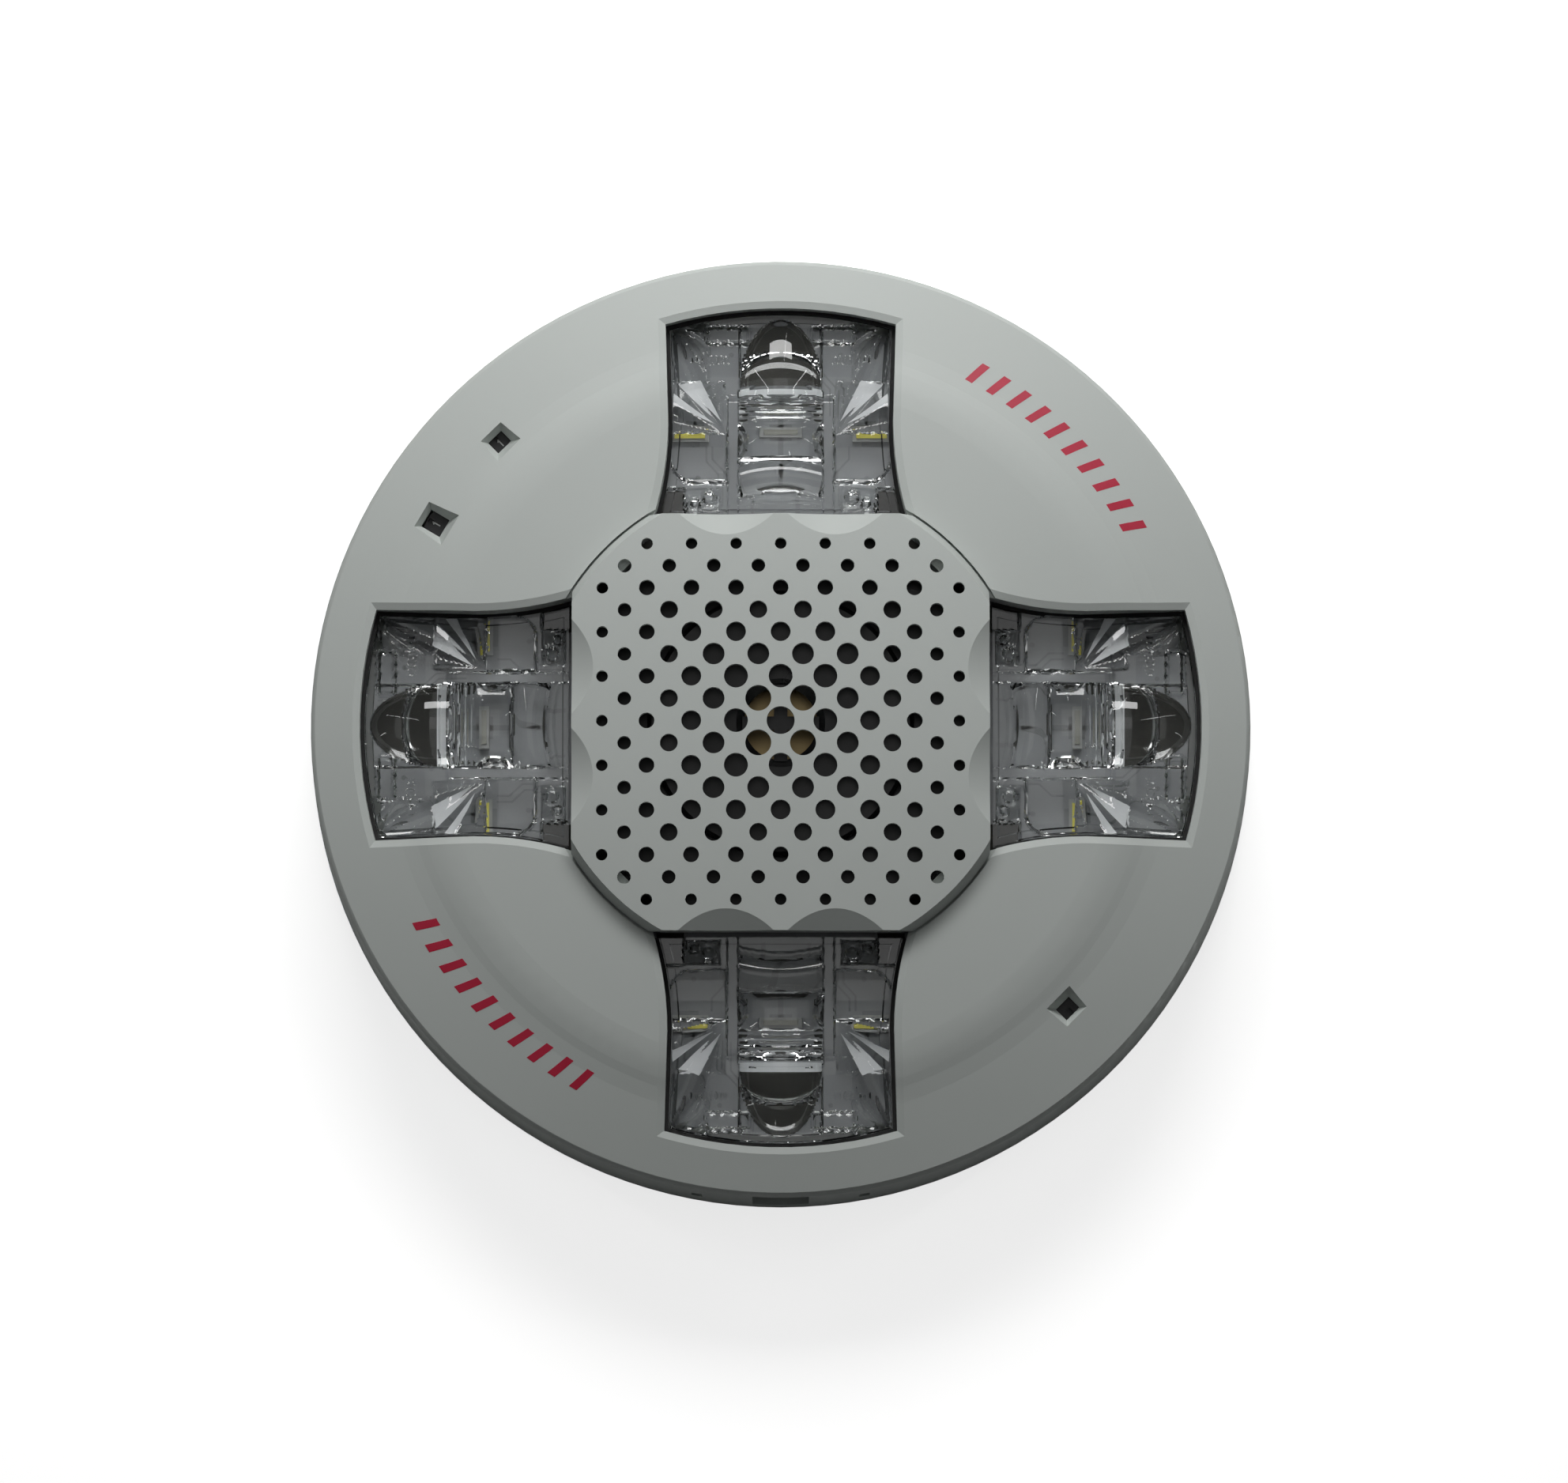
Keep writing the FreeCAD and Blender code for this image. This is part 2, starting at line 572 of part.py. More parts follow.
# ---------------------------------------------------------------- grille
def grille_outline(shrink=0):
    """A square whose corners are rounded off by a large circle."""
    half = f"(grille_half - ({shrink}))"
    radius = f"(grille_radius - ({shrink}))"
    near = f"sqrt({radius}^2 - {half}^2)"
    return [
        (half, f"-{near}"), (half, near, radius), (near, half), (f"-{near}", half, radius),
        (f"-{half}", near), (f"-{half}", f"-{near}", radius), (f"-{near}", f"-{half}"),
        (near, f"-{half}", radius),
    ]


def crown_form(name, drop, shrink, bottom, outline):
    """The grille's solid form: its outline, under a shallow sphere and inside a tapered wall."""
    ball = tie(doc.addObject("Part::Sphere", name + "_crown"), Radius=f"crown_radius - ({drop})")
    ball.Placement.Rotation = FreeCAD.Rotation(Vector(1, 0, 0), 90)
    tie(ball, **{".Placement.Base.z": "grille_crown_level - crown_radius"})
    rise = "grille_rim_level - grille_bevel_level"
    lean = f"(grille_radius - grille_edge_radius) / ({rise})"
    peak = "grille_crown_level + run_past"
    wall = lathe(name + "_wall", [
        ("0", bottom), (f"grille_radius - ({shrink})", bottom),
        (f"grille_radius - ({shrink})", "grille_bevel_level"),
        (f"grille_radius - ({shrink}) - {lean} * ({peak} - grille_bevel_level)", peak),
        ("0", peak),
    ])
    block = prism(name + "_block", outline, bottom, f"{peak} - ({bottom}) + run_past")
    return common(name, common(name + "_sides", wall, block), ball)


def grille_holes():
    """The staggered perforations, smaller ring by ring towards the edge."""
    body = doc.addObject("PartDesign::Body", "perforations")
    sketch = body_sketch(body, "XY_Plane", "perforation_plan", "grille_bottom + run_past")
    for column in range(-HOLE_RINGS, HOLE_RINGS + 1):
        for line in range(-HOLE_RINGS, HOLE_RINGS + 1):
            ring = max(abs(column), abs(line))
            corner = abs(column) == HOLE_RINGS and abs(line) == HOLE_RINGS
            if (column + line) % 2 or corner:
                continue
            circle(sketch, f"{column} * pitch", f"{line} * pitch",
                   f"(hole_diameter - {ring} * hole_step) / 2")
    pad = body.newObject("PartDesign::Pad", "perforation_pad")
    pad.Profile = sketch
    tie(pad, Length="through")
    return body


def scoop(turn, side):
    """A leaning cylinder that scallops the grille's edge beside a lens."""
    lean = size("scoop_drop / scoop_reach")
    thing = tie(doc.addObject("Part::Cylinder", f"scoop_{turn}_{side + 1}"),
                Radius="scoop_radius", Height="scoop_length")
    start = Vector(size("grille_half - scoop_reach"), side * size("scoop_side"),
                   size("grille_crown_level - (grille_half - scoop_reach)^2 / (2 * crown_radius)"))
    heading = Vector(1, 0, -lean).normalize()
    upward = Vector(lean, 0, 1).normalize()
    centre = start + upward * size("scoop_radius") - heading * size("scoop_length / 2")
    spin = FreeCAD.Rotation(Vector(0, 0, 1), turn)
    aim = FreeCAD.Rotation(Vector(0, 0, 1), heading)
    thing.Placement = FreeCAD.Placement(spin.multVec(centre), spin.multiply(aim))
    return thing


def grille():
    outside = crown_form("grille_form", "0", "0", "grille_side_bottom", grille_outline())
    inside = crown_form("grille_hollow", "grille_wall", "grille_wall",
                        "grille_side_bottom - run_past", grille_outline("grille_wall"))
    corner_cuts = []
    scoops = []
    clips = []
    for turn in QUARTERS:
        corner_cuts.append(sector(f"corner_step_{turn}", "grille_radius - grille_wall - run_past / 2",
                                  "grille_radius + run_past", "grille_side_bottom - run_past",
                                  "grille_bottom", f"{turn} + 45", "corner_step_half_angle"))
        scoops += [scoop(turn, -1), scoop(turn, 1)]
        leg = centred_box(f"clip_leg_{turn}", "clip_leg", "clip_width",
                          "grille_bevel_level - clip_bottom + run_past", "clip_radius - clip_leg / 2",
                          0, "clip_bottom", f"{turn} + 45")
        barb = centred_box(f"clip_barb_{turn}", "clip_barb_height + clip_barb", "clip_width",
                           "clip_barb_height", "clip_radius + clip_barb", 0, "clip_bottom",
                           f"{turn} + 45")
        bridge = centred_box(f"clip_bridge_{turn}", "clip_bridge", "clip_width",
                             "clip_bridge_height", "clip_radius + clip_barb / 2", 0,
                             "grille_bevel_level - 4 * overlap", f"{turn} + 45")
        clips += [leg, barb, bridge]
    shell = cut("grille_shell", outside, inside)
    shell = cut("grille_stepped", shell, fuse("grille_steps", *corner_cuts))
    shell = cut("grille_perforated", shell, grille_holes())
    shell = cut("grille_scalloped", shell, fuse("grille_scoops", *scoops))
    return fuse("grille", shell, *clips)


def grille_pads():
    """Thin foam strips that the grille's corners close down on."""
    return group("grille_pads", [
        sector(f"grille_pad_{turn}", "ledge_radius + pad_inset", "grille_radius - overlap",
               "ledge_level", "grille_bottom", f"{turn} + 45", "pad_half_angle")
        for turn in QUARTERS
    ])


# ---------------------------------------------------------------- lenses
def lens(name, turn):
    """A clear moulding: a flange under the cover, a plate, and the raised optics on it."""
    flange = prism(name + "_flange", window_outline("lens_flange", "lens_inner", "lens_inner_half"),
                   "lens_bottom", "lens_flange_top - lens_bottom")
    plate = prism(name + "_plate", window_outline("-lens_gap", "lens_inner", "lens_inner_half"),
                  "lens_bottom", "lens_plate_top - lens_bottom")
    hollow = window_outline("-lens_gap - lens_wall", "lens_inner + lens_wall", "lens_inner_half")
    under = prism(name + "_under", hollow, "lens_bottom - run_past",
                  "lens_plate_bottom - lens_bottom + run_past")
    shell = cut(name + "_shell", fuse(name + "_outer", flange, plate), under)
    barrel = cylinder(name + "_barrel", "barrel_half", "nose_centre - lens_inner - barrel_inset")
    barrel.Placement.Rotation = FreeCAD.Rotation(Vector(0, 0, 1), Vector(1, 0, 0))
    tie(barrel, **{".Placement.Base.x": "lens_inner + barrel_inset",
                   ".Placement.Base.z": "barrel_axis"})
    nose = tie(doc.addObject("Part::Sphere", name + "_nose"), Radius="barrel_half")
    put(nose, "nose_centre", 0, "barrel_axis")
    above = centred_box(name + "_above", "nose_centre", "nose_centre", "through",
                        "nose_centre - 20", 0, "barrel_axis")
    optic = common(name + "_optic", fuse(name + "_barrel_nose", barrel, nose), above)
    blocks = []
    for side in (-1, 1):
        blocks.append(centred_box(
            f"{name}_block_{side + 1}", "block_outer - block_inner", "block_far - block_near",
            "block_top - barrel_axis", "(block_inner + block_outer) / 2",
            f"{side} * (block_near + block_far) / 2", "barrel_axis"))
    places = [("lens_inner + lens_wall", "lens_foot_inner_side"),
              ("lens_foot_outer", "lens_foot_outer_side")]
    feet = [cylinder(f"{name}_foot_{number}_{side + 1}", "lens_foot_radius",
                     "barrel_axis - board_top", x, f"{side} * {y}", "board_top")
            for number, (x, y) in enumerate(places) for side in (-1, 1)]
    return put(fuse(name, shell, optic, *blocks, *feet), turn=turn)


def lens_seals():
    """A foam frame between each lens flange and the curb above it."""
    frames = []
    for turn in QUARTERS:
        frames.append(prism(f"seal_{turn}", seal_outline(), "lens_flange_top",
                            "curb_level - lens_flange_top", turn))
    return group("lens_seals", frames)


def seal_outline():
    """A U-shaped strip round the sides and outer end of a window."""
    outer = window_outline("lens_flange", "lens_inner", "lens_inner_half")
    inner = window_outline("seal_inset", "lens_inner", "lens_inner_half")
    back = [(x, y, f"-({radius[0]})") if radius else (x, y)
            for (x, y, *_), radius in zip(reversed(inner), shifted_arcs(inner))]
    return outer + back


def shifted_arcs(outline):
    """The arc of each side of an outline when it is walked backwards."""
    arcs = [corner[2:] for corner in outline]
    backwards = list(reversed(arcs))
    return backwards[1:] + [()]


# ---------------------------------------------------------------- circuit board
def board_hole_plan():
    """Clearance holes through the board: dial shafts, board screws and sounder leads."""
    holes = [("0", "0", "board_hole_radius")]
    for name, angle, along, across in SIGHTS:
        holes.append((f"dial_circle * cos({angle})", f"dial_circle * sin({angle})",
                      "shaft_radius + shaft_clear"))
    for angle in standoff_angles():
        holes.append((f"standoff_circle * cos({angle})", f"standoff_circle * sin({angle})",
                      "standoff_clear_radius"))
    return holes


def standoff_angles():
    return [f"standoff_first_angle + {turn}" for turn in QUARTERS]


def main_board():
    board = cylinder("board_disc", "board_radius", "board_top - board_bottom", z="board_bottom")
    holes = [cylinder(f"board_hole_{number}", radius, "through", x, y, "board_bottom - run_past")
             for number, (x, y, radius) in enumerate(board_hole_plan())]
    return cut("main_board", board, fuse("board_holes", *holes))


def led_places():
    """Each light emitter's place: its window's turn, distance out and distance across."""
    for turn in QUARTERS:
        yield turn, "led_radius", "led_side"
        yield turn, "led_radius", "-led_side"
        yield turn, "led_centre_radius", "0"


def led_packages():
    return group("led_packages", [
        centred_box(f"led_{number}", "led_width", "led_length", "led_height", out, across,
                    "board_top", turn)
        for number, (turn, out, across) in enumerate(led_places())
    ])


def led_phosphors():
    return group("led_phosphors", [
        centred_box(f"phosphor_{number}", "phosphor_width", "phosphor_length", "phosphor_height",
                    out, across, "board_top + led_height", turn)
        for number, (turn, out, across) in enumerate(led_places())
    ])


def lying_can(name, radius, length, circle_radius, angle, level):
    """A cylinder lying along a radius."""
    can = cylinder(name, radius, length)
    spin = FreeCAD.Rotation(Vector(0, 0, 1), angle)
    can.Placement.Rotation = spin.multiply(FreeCAD.Rotation(Vector(0, 0, 1), Vector(1, 0, 0)))
    tie(can, **{
        ".Placement.Base.x": f"(({circle_radius}) - ({length}) / 2) * cos({angle})",
        ".Placement.Base.y": f"(({circle_radius}) - ({length}) / 2) * sin({angle})",
        ".Placement.Base.z": level,
    })
    return can


def storage_capacitors():
    return group("storage_capacitors", [
        lying_can(f"capacitor_{angle}", "capacitor_radius", "capacitor_length",
                  "capacitor_circle", angle, "board_top + capacitor_radius")
        for angle in (38, 52, 218, 232)
    ])


def power_inductor():
    core = polar_cylinder("inductor_core", "inductor_radius", "inductor_height",
                          "inductor_circle", "135", "board_top")
    well = polar_cylinder("inductor_well", "inductor_well_radius", "inductor_well_depth + run_past",
                          "inductor_circle", "135",
                          "board_top + inductor_height - inductor_well_depth")
    return cut("power_inductor", core, well)


def control_chips():
    return group("control_chips", [
        centred_box("chip_controller", "controller_side", "controller_side",
                    "controller_height", "controller_circle", 0, "board_top", 315),
        centred_box("chip_driver", "driver_length", "driver_width", "small_chip_height",
                    "small_chip_circle", "driver_offset", "board_top", 315),
        centred_box("chip_sounder", "sounder_chip_length", "sounder_chip_width",
                    "small_chip_height", "small_chip_circle", "sounder_chip_offset",
                    "board_top", 315),
    ])


def chip_resistors():
    """Small surface-mounted parts in rows beside the larger ones."""
    parts = []
    for quarter in (45, 135, 225, 315):
        for step in range(5):
            parts.append(centred_box(f"resistor_{quarter}_{step}", "resistor_width",
                                     "resistor_length", "resistor_height", "resistor_row",
                                     f"{step - 2} * resistor_pitch", "board_top", quarter))
    return group("chip_resistors", parts)


def lead_connector():
    """The socket under the board that the sounder's leads run into."""
    shell = centred_box("connector_shell", "connector_length", "connector_width",
                        "board_bottom - rear_top - overlap", "connector_circle", 0,
                        "rear_top + overlap", "lead_angle")
    return group("lead_connector", [shell])


# ---------------------------------------------------------------- sounder
def horn_body():
    """A cup whose face has a throat crossed by a guard; its wall seats the sounding disc."""
    cup = lathe("horn_cup", [
        ("horn_radius - horn_wall", "horn_bottom"), ("horn_radius", "horn_bottom"),
        ("horn_radius", "horn_top - horn_lip"), ("horn_radius - horn_lip", "horn_top"),
        ("throat_radius + throat_flare", "horn_top"),
        ("throat_radius", "horn_top - throat_flare_depth"),
        ("throat_radius", "horn_face"), ("seat_radius", "horn_face"),
        ("seat_radius", "seat_level"), ("horn_radius - horn_wall", "seat_level"),
    ])
    bars = []
    for turn in (0, 90):
        bars.append(centred_box(f"guard_bar_{turn}", "2 * throat_radius + 6 * overlap",
                                "guard_bar", "guard_height", 0, 0, "horn_face", turn))
    ears = []
    for side in (0, 180):
        ears.append(centred_box(f"horn_ear_{side}", "ear_length", "2 * ear_half", "ear_height",
                                "ear_radius - 12 * overlap", 0, "rear_top", side))
    whole = fuse("horn_solid", cup, *bars, *ears)
    holes = [polar_cylinder(f"horn_screw_hole_{side}", "ear_pilot_radius", "ear_height + 2 * run_past",
                            "ear_radius", str(side), "rear_top - run_past") for side in (0, 180)]
    holes.append(centred_box("lead_notch", "lead_notch_width", "lead_notch_width",
                             "lead_level - horn_bottom + 2 * run_past", "horn_radius - run_past", 0,
                             "horn_bottom - run_past", "lead_angle"))
    return cut("horn_body", whole, fuse("horn_openings", *holes))


def piezo_disc():
    return cylinder("piezo_disc", "disc_radius", "disc_height", z="seat_level - disc_height")


def piezo_ceramic():
    return cylinder("piezo_ceramic", "ceramic_radius", "ceramic_height",
                    z="seat_level - disc_height - ceramic_height")


def horn_retainer():
    """The ring pressed into the cup behind the disc."""
    ring = lathe("retainer_ring", [
        ("seat_radius - run_past", "horn_bottom + retainer_inset"),
        ("horn_radius - horn_wall", "horn_bottom + retainer_inset"),
        ("horn_radius - horn_wall", "seat_level - disc_height"),
        ("seat_radius", "seat_level - disc_height"),
        ("seat_radius - run_past", "seat_level - retainer_lip"),
    ])
    notch = centred_box("retainer_notch", "2 * lead_notch_width", "lead_notch_width",
                        "retainer_lip", "seat_radius + run_past", 0,
                        "horn_bottom + retainer_inset - overlap", "lead_angle")
    return cut("horn_retainer", ring, notch)


def horn_baffle():
    """A plate pressed on round the cup, so that all of the sound leaves by the throat."""
    top = "baffle_bottom + baffle_height"
    disc = lathe("baffle_disc", [
        ("horn_radius", "baffle_collar_bottom"),
        ("horn_radius + baffle_collar", "baffle_collar_bottom"),
        ("horn_radius + baffle_collar", "baffle_bottom"), ("baffle_radius", "baffle_bottom"),
        ("baffle_radius", top), ("horn_radius", top),
    ])
    square = centred_box("baffle_square", "2 * baffle_half", "2 * baffle_half", "through",
                         z="baffle_collar_bottom - run_past")
    return common("horn_baffle", disc, square)


def horn_lead(name, offset):
    """One wire: down from the disc's back, round a bend and straight out to the socket."""
    start = Vector(size("lead_start"), offset, size("seat_level - disc_height - ceramic_height"))
    run = size("lead_level")
    bend = size("lead_bend")
    end = Vector(size("lead_end"), offset, run)
    elbow = Vector(start.x, offset, run)
    bend_start = elbow + Vector(0, 0, bend)
    bend_end = elbow + Vector(bend, 0, 0)
    middle = elbow + Vector(bend, 0, bend) - Vector(bend, 0, bend) * sqrt(0.5)
    path = Part.Wire([
        Part.LineSegment(start, bend_start).toShape(),
        Part.Arc(bend_start, middle, bend_end).toShape(),
        Part.LineSegment(bend_end, end).toShape(),
    ])
    ring = Part.Wire([Part.Circle(start, Vector(0, 0, 1), size("lead_radius")).toShape()])
    wire = doc.addObject("Part::Feature", name)
    wire.Shape = path.makePipeShell([ring], True, False)
    return put(wire, turn="lead_angle")


def horn_leads():
    half = size("lead_spacing / 2")
    return group("horn_leads", [horn_lead("lead_live", -half), horn_lead("lead_return", half)])


# ---------------------------------------------------------------- rear cover
def contact_angles():
    return [f"90 + {step} * contact_pitch_angle / 2" for step in (-3, -1, 1, 3)]


def rear_cover():
    disc = lathe("rear_disc", [
        ("0", "rear_bottom"), ("rear_radius - rear_edge", "rear_bottom"),
        ("rear_radius", "rear_bottom + rear_edge"), ("rear_radius", "rear_top"),
        ("0", "rear_top"),
    ])
    standoffs = [polar_cylinder(f"standoff_{number}", "standoff_radius",
                                "board_bottom - rear_top + overlap", "standoff_circle", angle,
                                "rear_top - overlap")
                 for number, angle in enumerate(standoff_angles())]
    holes = [polar_cylinder(f"standoff_hole_{number}", "standoff_pilot_radius", "through",
                            "standoff_circle", angle, "rear_top - 6 * overlap")
             for number, angle in enumerate(standoff_angles())]
    drilled = [(f"cover_screw_{number}", "cover_screw_clear_radius", "boss_circle", angle)
               for number, angle in enumerate(boss_angles())]
    drilled += [(f"horn_screw_{side}", "horn_screw_clear_radius", "ear_radius", str(side))
                for side in (0, 180)]
    drilled += [(f"dial_{name}", "shaft_radius + shaft_clear + 7 * overlap", "dial_circle", angle)
                for name, angle, along, across in SIGHTS]
    drilled += [(f"contact_{number}", "tail_clear_radius", "contact_radius", angle)
                for number, angle in enumerate(contact_angles())]
    for name, radius, circle_radius, angle in drilled:
        holes.append(polar_cylinder(f"rear_hole_{name}", radius, "rear_top - rear_bottom + 2 * run_past",
                                    circle_radius, angle, "rear_bottom - run_past"))
    return cut("rear_cover", fuse("rear_solid", disc, *standoffs), fuse("rear_holes", *holes))


def screw(name, head_radius, head_height, shank_radius, length, x, y, z, up, recess):
    """A pan head screw with a cross recess; up is 1 for a head on top, -1 for a head below."""
    head = tie(doc.addObject("Part::Cylinder", name + "_head"), Radius=head_radius,
               Height=head_height)
    shank = tie(doc.addObject("Part::Cylinder", name + "_shank"), Radius=shank_radius,
                Height=f"({length}) + overlap")
    slots = [centred_box(f"{name}_recess_{turn}", f"2 * ({recess})", "recess_width",
                         "recess_depth + overlap", z=f"({head_height}) - recess_depth", turn=turn)
             for turn in (0, 90)]
    tie(shank, **{".Placement.Base.z": f"-({length})"})
    body = cut(name, fuse(name + "_form", head, shank), fuse(name + "_cross", *slots))
    flip = FreeCAD.Rotation(Vector(1, 0, 0), 0 if up > 0 else 180)
    body.Placement = FreeCAD.Placement(Vector(size(x), size(y), size(z)), flip)
    tie(body, **{".Placement.Base.x": x, ".Placement.Base.y": y, ".Placement.Base.z": z})
    return body


def polar_screw(name, head, shank_radius, length, circle_radius, angle, z, up):
    return screw(name, head[0], head[1], shank_radius, length,
                 f"({circle_radius}) * cos({angle})", f"({circle_radius}) * sin({angle})", z, up,
                 "pan_recess_half")


def cover_screws():
    return group("cover_screws", [
        polar_screw(f"cover_screw_{number}", ("2.7", "1.5"), "1.2", "7.6", "boss_circle", angle,
                    "rear_bottom", -1)
        for number, angle in enumerate(boss_angles())
    ])


def board_screws():
    return group("board_screws", [
        polar_screw(f"board_screw_{number}", ("2.4", "1.4"), "1.1", "4.2", "standoff_circle",
                    angle, "board_top", 1)
        for number, angle in enumerate(standoff_angles())
    ])


def horn_screws():
    return group("horn_screws", [
        polar_screw(f"horn_screw_{side}", ("2.4", "1.3"), "1.25", "3.1", "ear_radius", str(side),
                    "rear_bottom", -1)
        for side in (0, 180)
    ])


def contact_springs():
    """Forked springs that straddle the plate's blades, each with a pin up to the board."""
    springs = []
    for number, angle in enumerate(contact_angles()):
        fork = sector(f"fork_{number}", "contact_radius - fork_half",
                      "contact_radius + fork_half", "fork_bottom", "fork_top", angle,
                      "contact_half_angle")
        slot = sector(f"fork_slot_{number}", "contact_radius - fork_gap_half",
                      "contact_radius + fork_gap_half", "fork_bottom - run_past", "fork_root",
                      angle, "contact_half_angle + 1")
        tail = polar_cylinder(f"fork_tail_{number}", "fork_tail_radius",
                              "board_bottom - fork_top + 2 * overlap", "contact_radius", angle,
                              "fork_top - 2 * overlap")
        springs.append(fuse(f"spring_{number}", cut(f"fork_cut_{number}", fork, slot), tail))
    return group("contact_springs", springs)


# ---------------------------------------------------------------- selector switches
def switch_housings():
    """The fixed bodies of the rotary selectors, each with a bore for its dial's shaft."""
    bodies = []
    for name, angle, along, across in SIGHTS:
        case = centred_box(f"switch_case_{name}", "2 * switch_half", "2 * switch_half",
                           "switch_top - board_top", "dial_circle", 0, "board_top", angle)
        bore = polar_cylinder(f"switch_bore_{name}", "shaft_radius + shaft_bore_clear",
                              "through", "dial_circle", angle, "board_top - run_past")
        bodies.append(cut(f"switch_{name}", case, bore))
    return group("switch_housings", bodies)


def dial(name, angle):
    """A numbered disc on a shaft, turned by a screwdriver from behind."""
    disc = cylinder(f"{name}_disc", "dial_radius", "dial_height", z="dial_level")
    shaft = cylinder(f"{name}_shaft", "shaft_radius", "dial_level - shaft_bottom + overlap",
                     z="shaft_bottom")
    solid = fuse(f"{name}_form", disc, shaft)
    driver = centred_box(f"{name}_slot", "driver_slot_length", "driver_slot_width",
                         "driver_slot_depth + run_past", z="shaft_bottom - run_past")
    pointer = centred_box(f"{name}_pointer", "pointer_width", "pointer_length", "dial_height",
                          z="dial_level + dial_height - pointer_depth",
                          y="dial_radius - pointer_inset")
    thing = cut(name, solid, fuse(f"{name}_cuts", driver, pointer))
    return put(thing, f"dial_circle * cos({angle})", f"dial_circle * sin({angle})",
               turn=f"({angle}) - 90")


# ---------------------------------------------------------------- mounting plate
def mounting_plate():
    ring = lathe("plate_form", [
        ("0", "0"), ("plate_radius", "0"), ("plate_radius", "rim_level"),
        ("rim_inner_radius", "rim_level"), ("rim_inner_radius", "plate_height"),
        ("0", "plate_height"),
    ])
    tabs = [sector(f"tab_{middle}", "plate_radius - 5 * overlap", "tab_radius", "tab_bottom",
                   "rim_level", middle, "tab_half_angle") for middle in TAB_ANGLES]
    solid = fuse("plate_solid", ring, *tabs, *latch_seat())
    holes = [prism("wire_entry", rounded_rectangle("entry_width / 2", "entry_bottom", "entry_top",
                                                   "entry_corner"), "-run_past", "entry_depth")]
    for number, (x, y) in enumerate(mounting_points()):
        holes.append(cylinder(f"mounting_hole_{number}", "mounting_hole_radius",
                              "plate_height + 2 * run_past", x, y, "-run_past"))
    for side in (-1, 1):
        holes.append(cylinder(f"keeper_pilot_{side + 1}", "keeper_pilot_radius", "through",
                              rail_x(side), "keeper_row", "rim_level"))
    return cut("mounting_plate", solid, fuse("plate_holes", *holes))


def mounting_points():
    """The screw holes: a two-gang square, a single-gang pair and an octagon box's pair."""
    across = "gang_spacing_across / 2"
    along = "gang_spacing_along / 2"
    points = [(f"{side} * {across}", f"{end} * {along}") for side in (-1, 1) for end in (-1, 1)]
    points += [("0", f"{end} * {along}") for end in (-1, 1)]
    points += [(f"{side} * octagon_spacing / 2", "0") for side in (-1, 1)]
    return points


def rail_x(side):
    return f"{side} * (latch_half_width + rail_offset)"


def latch_seat():
    """What carries the tongue: a pedestal under it, a rail each side and the spring's post."""
    foot = "plate_height - 2 * overlap"
    pedestal = centred_box("latch_pedestal", "2 * latch_half_width", "pedestal_length",
                           "latch_level - plate_height - overlap", y="latch_back - 6", z=foot)
    rails = [centred_box(f"latch_rail_{side + 1}", "rail_width", "rail_length", "rail_height",
                         x=rail_x(side), y="latch_back - 6.6", z=foot) for side in (-1, 1)]
    post = centred_box("spring_post", "spring_post_width", "spring_post_length",
                       "spring_post_height", y="spring_post_face + spring_post_length / 2",
                       z=foot)
    return [pedestal, *rails, post]


def rounded_rectangle(half, low, high, corner):
    return [
        (f"-({half}) + {corner}", low), (f"({half}) - {corner}", low, corner),
        (half, f"({low}) + {corner}"), (half, f"({high}) - {corner}", corner),
        (f"({half}) - {corner}", high), (f"-({half}) + {corner}", high, corner),
        (f"-({half})", f"({high}) - {corner}"), (f"-({half})", f"({low}) + {corner}", corner),
    ]


def terminal_columns():
    return [f"{step} * terminal_pitch / 2" for step in (-3, -1, 1, 3)]


def terminal_block():
    base = centred_box("terminal_base", "2 * block_half_length",
                       "terminal_block_top - terminal_block_bottom",
                       "terminal_level - plate_height",
                       y="(terminal_block_top + terminal_block_bottom) / 2", z="plate_height")
    barriers = [centred_box(f"barrier_{step + 4}", "barrier_width", "barrier_length",
                            "barrier_level - terminal_level + 5 * overlap",
                            x=f"{step} * terminal_pitch / 2", y="terminal_row",
                            z="terminal_level - 5 * overlap") for step in (-4, -2, 0, 2, 4)]
    carrier = sector("contact_carrier", "contact_radius - carrier_half",
                     "contact_radius + carrier_half", "plate_height", "blade_bottom", "90",
                     "carrier_half_angle")
    arms = [centred_box(f"carrier_arm_{side + 1}", "carrier_arm_width", "carrier_arm_length",
                        "blade_bottom - plate_height", x=f"{side} * carrier_arm_side",
                        y="carrier_arm_middle", z="plate_height") for side in (-1, 1)]
    solid = fuse("terminal_solid", base, *barriers, carrier, *arms)
    holes = [cylinder(f"terminal_hole_{number}", "screw_clear_radius", "through", x,
                      "terminal_row", "terminal_bore_bottom")
             for number, x in enumerate(terminal_columns())]
    return cut("terminal_block", solid, fuse("terminal_holes", *holes))


def terminal_clamps():
    """The plates that the terminal screws press on the wires."""
    clamps = []
    for number, x in enumerate(terminal_columns()):
        plate = centred_box(f"clamp_plate_{number}", "clamp_width", "clamp_length",
                            "clamp_height", x=x, y="terminal_row", z="terminal_level")
        hole = cylinder(f"clamp_hole_{number}", "screw_clear_radius", "clamp_height + 2 * run_past",
                        x, "terminal_row", "terminal_level - run_past")
        clamps.append(cut(f"clamp_{number}", plate, hole))
    return group("terminal_clamps", clamps)


def contact_blades():
    """Upright blades on the plate that the head's forks close on."""
    return group("contact_blades", [
        sector(f"blade_{number}", "contact_radius - blade_half", "contact_radius + blade_half",
               "blade_bottom", "blade_top", angle, "contact_half_angle")
        for number, angle in enumerate(contact_angles())
    ])


